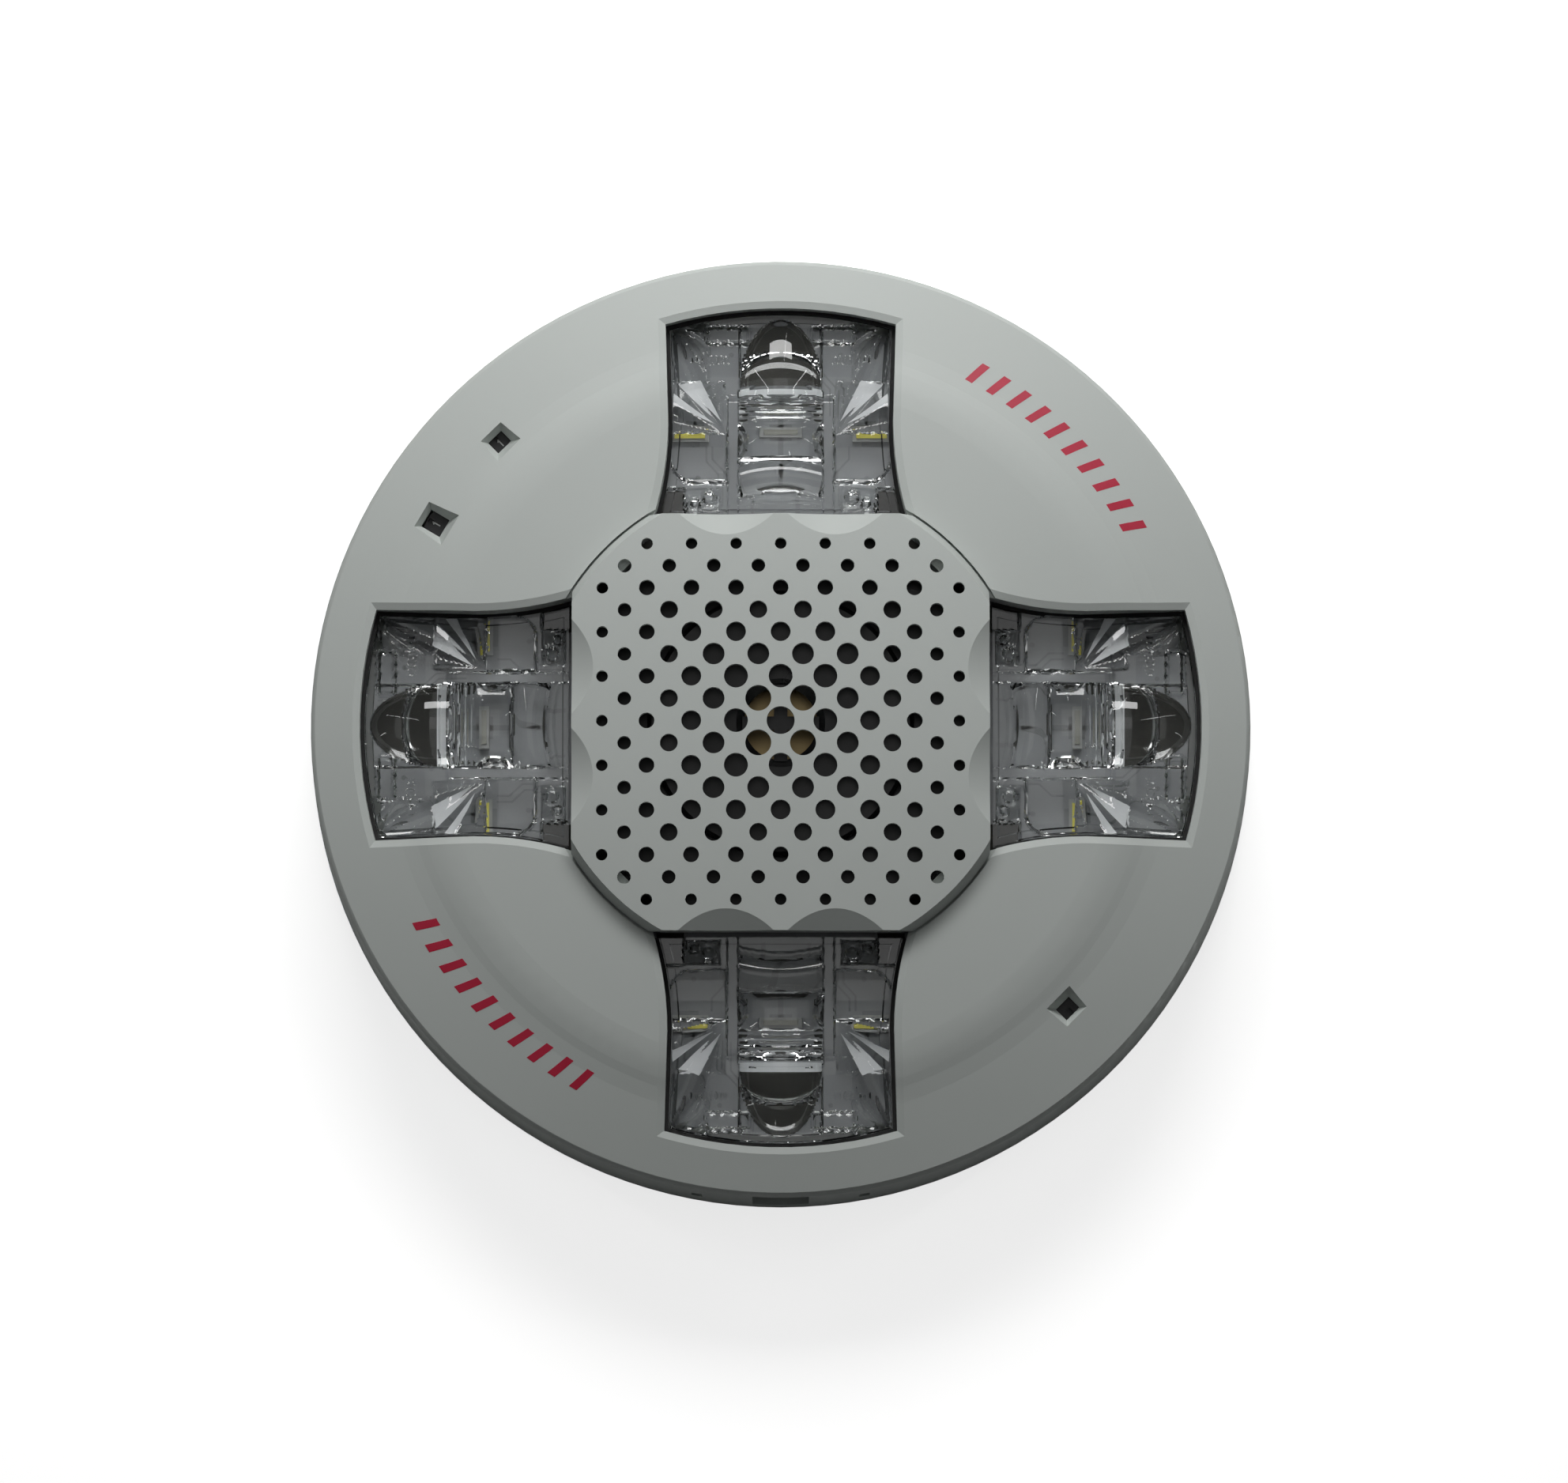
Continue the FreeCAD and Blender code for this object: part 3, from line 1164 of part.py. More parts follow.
def terminal_screw(number):
    return screw(f"terminal_screw_{number + 1}", "screw_head_radius", "screw_head_height",
                 "screw_shank_radius", "5.0", terminal_columns()[number], "terminal_row",
                 "terminal_level + clamp_height + overlap", 1, "2.1")


# ---------------------------------------------------------------- release latch
def release_latch():
    """A sliding tongue; its nose shows in the cover's slot and is pushed in by a tool."""
    slab = prism("latch_slab", rectangle("latch_half_width", "latch_nose_back - 2", "latch_back"),
                 "latch_level", "latch_slab_height")
    nose = prism("latch_nose", rectangle("latch_nose_half", "-back_radius", "latch_nose_back"),
                 "latch_level", "latch_nose_top - latch_level")
    tip = cylinder("latch_tip", "latch_nose_radius", "through", z="latch_level - run_past")
    heel = centred_box("latch_heel", "latch_heel_width", "latch_heel_length",
                       "latch_heel_height", y="latch_back - latch_heel_length / 2",
                       z="latch_level")
    whole = common("latch_rounded", fuse("latch_form", slab, nose, heel), tip)
    grip = centred_box("latch_grip", "latch_grip_width", "latch_grip_length",
                       "latch_grip_depth + run_past", y="latch_nose_back - latch_grip_length - 0.4",
                       z="latch_nose_top - latch_grip_depth")
    return cut("release_latch", whole, grip)


def latch_spring():
    """A coil spring between the post and the tongue's heel."""
    start = size("latch_back")
    end = size("spring_post_face")
    wire_radius = size("spring_wire_radius")
    coil_radius = size("spring_radius")
    length = end - start - 2 * wire_radius
    helix = Part.makeHelix(length / size("spring_turns"), length, coil_radius)
    section = Part.Circle(Vector(coil_radius, 0, 0), Vector(0, 1, 0), wire_radius)
    ring = Part.Wire([section.toShape()])
    spring = doc.addObject("Part::Feature", "latch_spring")
    spring.Shape = Part.Wire(helix.Edges).makePipeShell([ring], True, True)
    aim = FreeCAD.Rotation(Vector(0, 0, 1), Vector(0, 1, 0))
    spring.Placement = FreeCAD.Placement(
        Vector(0, start + wire_radius, size("latch_level + spring_rise")), aim)
    return spring


def latch_keeper():
    """A strap over the tongue, screwed down on the plate's rails."""
    strap = centred_box("keeper_strap", "2 * latch_half_width + 5", "keeper_length",
                        "keeper_height", y="keeper_row", z="keeper_level")
    holes = [cylinder(f"keeper_hole_{side + 1}", "keeper_clear_radius",
                      "keeper_height + 2 * run_past", rail_x(side), "keeper_row",
                      "keeper_level - run_past") for side in (-1, 1)]
    return cut("latch_keeper", strap, fuse("keeper_holes", *holes))


def keeper_screws():
    return group("keeper_screws", [
        screw(f"keeper_screw_{side + 1}", "1.5", "1.1", "keeper_pilot_radius", "3.4",
              rail_x(side), "keeper_row", "keeper_level + keeper_height", 1, "0.9")
        for side in (-1, 1)
    ])


# ---------------------------------------------------------------- assembly and export
def build():
    parts = [
        front_cover(), grille(), grille_pads(), lens_seals(), main_board(), led_packages(),
        led_phosphors(), storage_capacitors(), power_inductor(), control_chips(),
        chip_resistors(), lead_connector(), horn_body(), piezo_disc(), piezo_ceramic(),
        horn_retainer(), horn_baffle(), horn_leads(), rear_cover(), cover_screws(), board_screws(),
        horn_screws(), contact_springs(), switch_housings(), mounting_plate(),
        terminal_block(), terminal_clamps(), contact_blades(), release_latch(), latch_spring(),
        latch_keeper(), keeper_screws(),
    ]
    parts += [lens(LENS_NAMES[turn], turn) for turn in QUARTERS]
    parts += [dial(f"{name}_dial", angle) for name, angle, along, across in SIGHTS]
    parts += [terminal_screw(number) for number in range(4)]
    return parts


def export(parts):
    """Writes each sub-part once every object has been built soundly."""
    doc.recompute()
    for thing in doc.Objects:
        if "Invalid" in thing.State or "Error" in thing.State:
            raise RuntimeError(f"{thing.Name} failed: {thing.State}")
    os.makedirs("parts", exist_ok=True)
    for part in parts:
        if part.Shape.isNull() or not part.Shape.isValid():
            raise RuntimeError(f"{part.Name} has no sound shape")
        print(part.Label, len(part.Shape.Solids), round(part.Shape.Volume, 1))
        part.Shape.exportStep(f"parts/{part.Label}.step")


export(build())
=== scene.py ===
import math

import bpy
import numpy as np
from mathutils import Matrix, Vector


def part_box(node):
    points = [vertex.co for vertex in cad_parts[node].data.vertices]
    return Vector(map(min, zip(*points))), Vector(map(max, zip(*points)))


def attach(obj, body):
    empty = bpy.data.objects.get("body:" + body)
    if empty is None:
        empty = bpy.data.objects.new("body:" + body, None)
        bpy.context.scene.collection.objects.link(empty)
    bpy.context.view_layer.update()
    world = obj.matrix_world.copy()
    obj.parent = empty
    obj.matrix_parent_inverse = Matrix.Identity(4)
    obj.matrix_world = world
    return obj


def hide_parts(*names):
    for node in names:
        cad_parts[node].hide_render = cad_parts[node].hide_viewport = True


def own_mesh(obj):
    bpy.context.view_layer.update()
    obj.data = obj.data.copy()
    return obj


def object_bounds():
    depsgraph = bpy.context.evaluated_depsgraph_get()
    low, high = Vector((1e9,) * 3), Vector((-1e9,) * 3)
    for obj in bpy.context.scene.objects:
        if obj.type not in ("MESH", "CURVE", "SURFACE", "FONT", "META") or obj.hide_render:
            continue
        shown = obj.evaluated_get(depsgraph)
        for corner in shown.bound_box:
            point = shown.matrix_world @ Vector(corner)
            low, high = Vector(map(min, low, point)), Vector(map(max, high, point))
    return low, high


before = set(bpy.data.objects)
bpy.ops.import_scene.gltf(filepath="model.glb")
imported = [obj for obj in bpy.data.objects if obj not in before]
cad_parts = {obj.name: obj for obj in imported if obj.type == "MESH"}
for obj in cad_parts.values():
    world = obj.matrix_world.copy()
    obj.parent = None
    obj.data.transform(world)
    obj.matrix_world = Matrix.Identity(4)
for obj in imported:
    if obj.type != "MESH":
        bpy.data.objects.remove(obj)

CAD_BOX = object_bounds()
MM = 0.001

bl_info = {
    "name": "Ceiling horn strobe",
    "version": (1, 0, 0),
    "blender": (4, 5, 0),
    "location": "View3D > Sidebar > Horn strobe",
    "description": "Finishes, lenses, printed bars and studio for a ceiling horn strobe",
    "category": "Object",
}

# Each window's lens node and the direction it lies in, in degrees from +X.
LENSES = {"lens_right": 0, "lens_top": 90, "lens_left": 180, "lens_bottom": 270}
HEAD = "head"


# ---------------------------------------------------------------- settings
class StrobeLensSettings(bpy.types.PropertyGroup):
    """Sizes of the clear lens mouldings, in millimetres."""

    inner_end: bpy.props.FloatProperty(
        name="Inner end", description="Distance of a lens's inner end from the axis", default=38.3)
    outer_radius: bpy.props.FloatProperty(
        name="Outer radius", description="Radius of the window's outer arc", default=76.0)
    gap: bpy.props.FloatProperty(
        name="Gap", description="Gap between the lens and the cover's edge", default=0.9)
    flange: bpy.props.FloatProperty(
        name="Flange", description="How far the flange runs under the cover", default=1.1)
    flange_top: bpy.props.FloatProperty(
        name="Flange top", description="Height of the flange's upper face", default=21.0)
    underside: bpy.props.FloatProperty(
        name="Underside", description="Height of the rim's lower face", default=19.6)
    plate_top: bpy.props.FloatProperty(
        name="Plate top", description="Height of the plate between the optics", default=23.6)
    optic_half: bpy.props.FloatProperty(
        name="Optic half width", description="Half the width of the central optic", default=7.65)
    optic_top: bpy.props.FloatProperty(
        name="Optic top", description="Height of the central optic's crest", default=27.7)
    steps_along: bpy.props.IntProperty(
        name="Steps along", description="Grid steps from inner end to outer arc", default=150)
    steps_across: bpy.props.IntProperty(
        name="Steps across", description="Grid steps from side to side", default=168)


class StrobeMarkSettings(bpy.types.PropertyGroup):
    """The rows of plain printed bars on the flange, in millimetres."""

    inner: bpy.props.FloatProperty(
        name="Inner radius", description="Radius that the bars stand on", default=69.5)
    height: bpy.props.FloatProperty(
        name="Bar height", description="How far the bars reach outward", default=5.8)
    width: bpy.props.FloatProperty(
        name="Bar width", description="Width of each bar", default=1.5)
    pitch: bpy.props.FloatProperty(
        name="Bar pitch", description="Spacing of the bars along the arc", default=4.4)
    count: bpy.props.IntProperty(
        name="Bars", description="Number of bars in a row", default=10)
    lean: bpy.props.FloatProperty(
        name="Lean", description="How far each bar's outer end leans sideways", default=1.9)
    ink: bpy.props.FloatProperty(
        name="Ink", description="Thickness of the printed ink", default=0.05)
    colour: bpy.props.FloatVectorProperty(
        name="Ink colour", description="Colour of the printed bars", subtype="COLOR", size=3,
        min=0, max=1, default=(0.50, 0.016, 0.05))


class StrobeStageSettings(bpy.types.PropertyGroup):
    """Camera, floor and lights."""

    distance: bpy.props.FloatProperty(
        name="Camera distance", description="From the camera to the object's base",
        default=1.1, unit="LENGTH")
    elevation: bpy.props.FloatProperty(
        name="Camera elevation", description="Height of the camera above the horizon",
        default=math.radians(84.7), subtype="ANGLE")
    lens: bpy.props.FloatProperty(
        name="Focal length", description="Camera focal length in millimetres", default=136.9)
    key_power: bpy.props.FloatProperty(
        name="Key power", description="Power of the soft key light in watts", default=1.26)
    fill_power: bpy.props.FloatProperty(
        name="Fill power", description="Power of the overhead fill in watts", default=0.32)
    glint_power: bpy.props.FloatProperty(
        name="Glint power", description="Power of each thin strip light, in watts",
        default=0.11, min=0.0)
    world_strength: bpy.props.FloatProperty(
        name="Surround", description="Strength of the even surround", default=0.035)
    floor_glow: bpy.props.FloatProperty(
        name="Floor glow", description="Light of its own that the floor shows", default=0.75)
    floor_colour: bpy.props.FloatVectorProperty(
        name="Floor colour", description="Colour of the floor", subtype="COLOR", size=3,
        min=0, max=1, default=(0.88, 0.88, 0.87))


# ---------------------------------------------------------------- shader groups
def new_group(name, inputs, outputs):
    """An empty shader group with named sockets."""
    group = bpy.data.node_groups.new(name, "ShaderNodeTree")
    for label, kind, value in inputs:
        socket = group.interface.new_socket(name=label, in_out="INPUT", socket_type=kind)
        socket.default_value = value
    for label, kind in outputs:
        group.interface.new_socket(name=label, in_out="OUTPUT", socket_type=kind)
    return group, group.nodes.new("NodeGroupInput"), group.nodes.new("NodeGroupOutput")


def grain_group():
    """Moulding grain: a fine height and a broad, soft tone."""
    group, given, result = new_group(
        "Moulding grain",
        [("Fine scale", "NodeSocketFloat", 2500.0), ("Broad scale", "NodeSocketFloat", 30.0)],
        [("Height", "NodeSocketFloat"), ("Tone", "NodeSocketFloat")],
    )
    nodes, links = group.nodes, group.links
    place = nodes.new("ShaderNodeTexCoord")
    fine = nodes.new("ShaderNodeTexNoise")
    fine.inputs["Detail"].default_value = 3.0
    broad = nodes.new("ShaderNodeTexNoise")
    broad.inputs["Detail"].default_value = 4.0
    broad.inputs["Roughness"].default_value = 0.6
    for noise, scale in ((fine, "Fine scale"), (broad, "Broad scale")):
        links.new(place.outputs["Object"], noise.inputs["Vector"])
        links.new(given.outputs[scale], noise.inputs["Scale"])
    links.new(fine.outputs["Fac"], result.inputs["Height"])
    links.new(broad.outputs["Fac"], result.inputs["Tone"])
    return group


def brushed_group():
    """Turning marks: fine lines round each piece, with a slow change of tone."""
    group, given, result = new_group(
        "Drawn metal",
        [("Line scale", "NodeSocketFloat", 900.0)],
        [("Height", "NodeSocketFloat"), ("Tone", "NodeSocketFloat")],
    )
    nodes, links = group.nodes, group.links
    place = nodes.new("ShaderNodeTexCoord")
    squeeze = nodes.new("ShaderNodeMapping")
    squeeze.inputs["Scale"].default_value = (1.0, 0.08, 1.0)
    line = nodes.new("ShaderNodeTexNoise")
    line.inputs["Detail"].default_value = 5.0
    tone = nodes.new("ShaderNodeTexNoise")
    tone.inputs["Scale"].default_value = 160.0
    links.new(place.outputs["Object"], squeeze.inputs["Vector"])
    links.new(squeeze.outputs["Vector"], line.inputs["Vector"])
    links.new(given.outputs["Line scale"], line.inputs["Scale"])
    links.new(place.outputs["Object"], tone.inputs["Vector"])
    links.new(line.outputs["Fac"], result.inputs["Height"])
    links.new(tone.outputs["Fac"], result.inputs["Tone"])
    return group


GROUPS = {}


def shared(name):
    """The shader group of that name, built once."""
    makers = {"grain": grain_group, "metal": brushed_group}
    if name not in GROUPS:
        GROUPS[name] = makers[name]()
    return GROUPS[name]


# ---------------------------------------------------------------- materials
def blank_material(name):
    """A new material, its node tree and its shader."""
    material = bpy.data.materials.new(name)
    material.use_nodes = True
    return material, material.node_tree, material.node_tree.nodes["Principled BSDF"]


def surface(name, dark, light, rough, *, effect="grain", scales=(2500, 30), bump=0.1,
            depth=0.00002, metallic=0.0, **sockets):
    """A material whose colour, roughness and relief vary with a shared effect."""
    material, tree, shader = blank_material(name)
    group = tree.nodes.new("ShaderNodeGroup")
    group.node_tree = shared(effect)
    for socket, value in zip(group.inputs, scales):
        socket.default_value = value
    blend = tree.nodes.new("ShaderNodeMix")
    blend.data_type = "RGBA"
    blend.inputs["A"].default_value = (*dark, 1)
    blend.inputs["B"].default_value = (*light, 1)
    spread = tree.nodes.new("ShaderNodeMapRange")
    spread.inputs["From Min"].default_value = 0.3
    spread.inputs["From Max"].default_value = 0.7
    spread.inputs["To Min"].default_value = rough[0]
    spread.inputs["To Max"].default_value = rough[1]
    relief = tree.nodes.new("ShaderNodeBump")
    relief.inputs["Strength"].default_value = bump
    relief.inputs["Distance"].default_value = depth
    outputs = list(group.outputs)
    tree.links.new(outputs[1], blend.inputs["Factor"])
    tree.links.new(outputs[1], spread.inputs["Value"])
    tree.links.new(outputs[0], relief.inputs["Height"])
    tree.links.new(blend.outputs["Result"], shader.inputs["Base Color"])
    tree.links.new(spread.outputs["Result"], shader.inputs["Roughness"])
    tree.links.new(relief.outputs["Normal"], shader.inputs["Normal"])
    shader.inputs["Metallic"].default_value = metallic
    for socket, value in sockets.items():
        shader.inputs[socket.replace("_", " ")].default_value = value
    return material


def clear_plastic(name):
    """Polished clear polycarbonate; light reaches the board through it."""
    material, tree, shader = blank_material(name)
    shader.inputs["Base Color"].default_value = (0.97, 0.985, 0.98, 1)
    shader.inputs["Transmission Weight"].default_value = 1.0
    shader.inputs["IOR"].default_value = 1.58
    group = tree.nodes.new("ShaderNodeGroup")
    group.node_tree = shared("grain")
    group.inputs["Fine scale"].default_value = 420.0
    group.inputs["Broad scale"].default_value = 90.0
    haze = tree.nodes.new("ShaderNodeMapRange")
    haze.inputs["To Min"].default_value = 0.0
    haze.inputs["To Max"].default_value = 0.05
    relief = tree.nodes.new("ShaderNodeBump")
    relief.inputs["Strength"].default_value = 0.04
    relief.inputs["Distance"].default_value = 0.00005
    shadow = tree.nodes.new("ShaderNodeLightPath")
    dim = tree.nodes.new("ShaderNodeMath")
    dim.operation = "MULTIPLY"
    dim.inputs[1].default_value = 0.5
    open_way = tree.nodes.new("ShaderNodeBsdfTransparent")
    mix = tree.nodes.new("ShaderNodeMixShader")
    output = tree.nodes["Material Output"]
    tree.links.new(group.outputs["Tone"], haze.inputs["Value"])
    tree.links.new(haze.outputs["Result"], shader.inputs["Roughness"])
    tree.links.new(group.outputs["Height"], relief.inputs["Height"])
    tree.links.new(relief.outputs["Normal"], shader.inputs["Normal"])
    tree.links.new(shadow.outputs["Is Shadow Ray"], dim.inputs[0])
    tree.links.new(dim.outputs["Value"], mix.inputs["Fac"])
    tree.links.new(shader.outputs["BSDF"], mix.inputs[1])
    tree.links.new(open_way.outputs["BSDF"], mix.inputs[2])
    tree.links.new(mix.outputs["Shader"], output.inputs["Surface"])
    return material


def centre_emitters_painted_shade(material):
    """The emitters on the head's two centre lines are greyed as painted shade, where the central
    optic hides them.
    """
    tree = material.node_tree
    shader = tree.nodes["Principled BSDF"]
    yellow = shader.inputs["Base Color"].links[0].from_socket
    place = tree.nodes.new("ShaderNodeTexCoord")
    split = tree.nodes.new("ShaderNodeSeparateXYZ")
    tree.links.new(place.outputs["Object"], split.inputs["Vector"])
    reach = []
    for axis in ("X", "Y"):
        size = tree.nodes.new("ShaderNodeMath")
        size.operation = "ABSOLUTE"
        tree.links.new(split.outputs[axis], size.inputs[0])
        reach.append(size)
    least = tree.nodes.new("ShaderNodeMath")
    least.operation = "MINIMUM"
    for index, size in enumerate(reach):
        tree.links.new(size.outputs["Value"], least.inputs[index])
    centre = tree.nodes.new("ShaderNodeMath")
    centre.operation = "LESS_THAN"
    centre.inputs[1].default_value = 8.0 * MM
    tree.links.new(least.outputs["Value"], centre.inputs[0])
    # Painted shade: grey in place of the yellow phosphor on the centre lines.
    tint = tree.nodes.new("ShaderNodeMix")
    tint.data_type = "RGBA"
    tint.inputs["B"].default_value = (0.30, 0.30, 0.26, 1)
    tree.links.new(centre.outputs["Value"], tint.inputs["Factor"])
    tree.links.new(yellow, tint.inputs["A"])
    tree.links.new(tint.outputs["Result"], shader.inputs["Base Color"])


def finish_nodes(material, *names):
    """Gives CAD nodes a material on every slot."""
    for name in names:
        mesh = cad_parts[name].data
        if not mesh.materials:
            mesh.materials.append(material)
        for index in range(len(mesh.materials)):
            mesh.materials[index] = material


# ---------------------------------------------------------------- mesh helpers
def mesh_object(name, vertices, faces, material, smooth_angle=None):
    """A new mesh piece in metres from vertices in millimetres."""
    mesh = bpy.data.meshes.new(name)
    mesh.from_pydata([tuple(c * MM for c in v) for v in vertices], [], faces)
    mesh.validate()
    mesh.materials.append(material)
    if smooth_angle is not None:
        mesh.shade_smooth()
        mesh.set_sharp_from_angle(angle=math.radians(smooth_angle))
    piece = bpy.data.objects.new(name, mesh)
    bpy.context.scene.collection.objects.link(piece)
    return piece


def smoothstep(x, low, high):
    ramp = np.clip((x - low) / (high - low), 0.0, 1.0)
    return ramp * ramp * (3 - 2 * ramp)


def between(x, low, high, soft=0.25):
    """One inside a band, nought outside, with soft edges."""
    return smoothstep(x, low - soft, low + soft) * (1 - smoothstep(x, high - soft, high + soft))


def pleat(angle, period):
    """A triangle wave from nought to one."""
    return np.abs((angle / period) % 2.0 - 1.0)


def dome(x, y):
    """The height of a unit half ball, nought outside it."""
    return np.sqrt(np.clip(1 - x * x - y * y, 0.0, 1.0))


# ---------------------------------------------------------------- lenses
def window_half(along):
    """Half the window's width at a distance from the axis: parallel, then flaring inward."""
    waist, waist_half, corner, corner_half = 55.0, 20.35, 73.06, 20.9
    flare_radius = 60.0
    straight = waist_half + (corner_half - waist_half) * (along - waist) / (corner - waist)
    inner, inner_half = 34.0, 24.1
    chord = math.hypot(waist - inner, inner_half - waist_half)
    rise = math.sqrt(flare_radius ** 2 - chord ** 2 / 4)
    middle = ((waist + inner) / 2, (waist_half + inner_half) / 2)
    normal = ((inner_half - waist_half) / chord, (waist - inner) / chord)
    centre = (middle[0] + normal[0] * rise, middle[1] + normal[1] * rise)
    reach = np.clip(flare_radius ** 2 - (along - centre[0]) ** 2, 0, None)
    flared = centre[1] - np.sqrt(reach)
    return np.where(along > waist, straight, flared)


def lens_grid(sizes):
    """Plan positions of the grid's points, and which of them lie inside the clear plate."""
    edge = 0.004
    inner = sizes.inner_end
    outer = sizes.outer_radius - sizes.gap
    side_rim = [1.0 + edge, 1.0 + (sizes.gap + sizes.flange) / 21.0]
    across = np.linspace(-1 + edge, 1 - edge, sizes.steps_across)
    across = np.concatenate([[-side_rim[1], -side_rim[0]], across, side_rim])
    along = np.linspace(0.0, 1.0 - edge, sizes.steps_along)
    end_rim = [1.0 + edge, 1.0 + (sizes.gap + sizes.flange) / (outer - inner)]
    along = np.concatenate([along, end_rim])
    v, s = np.meshgrid(along, across, indexing="ij")
    u = inner + v * (outer - inner)
    for _ in range(6):
        t = s * (window_half(u) - sizes.gap)
        arc = np.sqrt(np.clip(outer ** 2 - t ** 2, 0, None))
        u = inner + v * (arc - inner)
    inside = (np.abs(s) < 1.0) & (v < 1.0)
    rim = (np.abs(s) > 0.93) | (v > 0.965) | (v < 0.03)
    return u, t, inside, rim


def side_block(u, a):
    """The raised block over each side emitter, with one rounded corner."""
    block = between(u, 44.2, 53.2) * between(a, 9.7, 30.0)
    corner = np.hypot(np.clip(48.4 - u, 0, None), np.clip(a - 15.6, 0, None))
    return block * (1 - smoothstep(corner, 4.1, 4.5))


def lens_top(u, t, sizes):
    """Height of the lens's upper face."""
    a = np.abs(t)
    crest = sizes.optic_top
    half = sizes.optic_half
    z = np.full_like(u, sizes.plate_top) - 1.0 * smoothstep(u, 62, 74)

    # a fan of facets beside each side emitter
    fan_angle = np.degrees(np.arctan2(a - 10.0, u - 53.0))
    fan_reach = np.hypot(a - 10.0, u - 53.0)
    fan = between(u, 53.4, 62.5, 0.3) * between(a, 10.2, 30.0)
    z = z + fan * (0.20 * np.clip(fan_reach, 0, 9) * (pleat(fan_angle + 6.0, 21.0) - 0.25))

    # creased facets in the outer corners
    corner_angle = np.degrees(np.arctan2(21.5 - a, 76.0 - u))
    corner_reach = np.hypot(21.5 - a, 76.0 - u)
    crinkle = between(u, 62.6, 80.0, 0.4) * between(a, 13.2, 30.0, 0.5)
    z = z + crinkle * (0.20 * np.clip(corner_reach, 0, 9) * (pleat(corner_angle, 12.0) - 0.6))

    # a short comb, then a dished pad near the outer arc
    z = z + 0.45 * between(u, 66.0, 67.4) * between(a, 9.2, 16.5) * (pleat(a, 0.45) - 0.5)
    pad = np.hypot(np.clip(np.abs(u - 71.3) - 0.9, 0, None),
                   np.clip(np.abs(a - 9.6) - 3.3, 0, None))
    z = z + 1.1 * (1 - smoothstep(pad, 0.7, 1.0)) - 0.7 * (1 - smoothstep(pad, 0.1, 0.45))

    # the blocks over the side emitters
    block_top = 26.4 - 0.012 * (a - 14.5) ** 2 - 0.02 * (u - 48.5) ** 2
    block = side_block(u, a)
    z = z * (1 - block) + block_top * block

    # sunk cells and hooked clips at the inner end, and a fine cross line
    cell = between(u, 38.0, 43.2) * between(a, 17.4, 30.0)
    z = z - 2.2 * cell
    clip = between(u, 39.0, 43.0) * between(a, 11.0, 17.0)
    hook = np.hypot(u - 41.2, a - 13.0)
    spur = np.hypot(u - 40.2, a - 15.6)
    ridges = np.exp(-((hook - 1.25) / 0.32) ** 2) + np.exp(-((spur - 0.8) / 0.28) ** 2)
    z = z + clip * (0.35 * (u - 41.0) + 1.1 * ridges)
    z = z + 0.22 * between(u, 59.75, 60.05, 0.12) * (1 - smoothstep(a, 14.0, 14.6))

    # flat rails beside the central optic
    rail = between(a, half, 9.6, 0.12) * (1 - smoothstep(u, 58.5, 60.5))
    z = z * (1 - rail) + (sizes.plate_top + 1.0) * rail

    # the central optic: shelf, wave, saddle, ridges and nose
    bowed = u + 0.018 * t ** 2
    arch = dome(t / (half + 0.25), 0 * t)
    saddle = crest - 3.2 + 2.7 * arch + 0.035 * (u - 51.8) ** 2
    bite = half - 1.9 * dome((u - 51.6) / 3.0, 0 * t)
    saddle = saddle - 3.6 * np.clip((a - bite) / 1.1, 0, 1)
    ridge = crest - 0.7 + 0.28 * np.cos((u - 54.8) * 5.6) - 0.012 * t ** 2
    wave = 24.0 + 2.9 * dome((bowed - 45.4) / 3.1, 0 * u) - 0.01 * t ** 2
    shelf = 24.3 - 0.006 * t ** 2 + 0.25 * between(bowed, 41.0, 42.0)
    centre = np.where(bowed < 42.4, shelf, wave)
    mix = smoothstep(u, 48.0, 48.6)
    centre = centre * (1 - mix) + saddle * mix
    mix = smoothstep(u, 54.7, 55.0)
    centre = centre * (1 - mix) + ridge * mix
    nose_base = 21.6
    nose = nose_base + (crest - nose_base) * dome(t / half, np.clip(u - 61.0, 0, None) / 13.4)
    mix = smoothstep(u, 59.3, 59.6)
    centre = centre * (1 - mix) + nose * mix
    in_optic = (1 - smoothstep(a, half - 0.12, half + 0.12)) * (u < 74.6)
    beyond = (u > 61.0) & (dome(t / half, np.clip(u - 61.0, 0, None) / 13.4) <= 0.18)
    in_optic = np.where(beyond, 0.0, in_optic)
    return z * (1 - in_optic) + centre * in_optic


def lens_bottom(u, t, rim, sizes):
    """Height of the lens's lower face: hollow under the plate, full under the optics."""
    a = np.abs(t)
    z = np.full_like(u, sizes.plate_top - 1.7)
    full = side_block(u, a)
    z = z * (1 - full) + (sizes.underside + 0.7) * full
    optic = 1 - smoothstep(a, sizes.optic_half - 0.5, sizes.optic_half)
    near = optic * between(u, 43.0, 60.0)
    z = z * (1 - near) + (sizes.underside + 0.7) * near
    cavity = 20.3 + 3.9 * np.sqrt(dome(t / 7.0, np.clip(u - 61.9, 0, None) / 5.9)) * (u > 61.6)
    under_nose = optic * smoothstep(u, 60.0, 60.3) * (1 - smoothstep(u, 73.6, 74.2))
    z = z * (1 - under_nose) + cavity * under_nose
    lens_cap = lens_top(u, t, sizes) - 1.0
    z = np.minimum(z, lens_cap)
    return np.where(rim, sizes.underside, z)


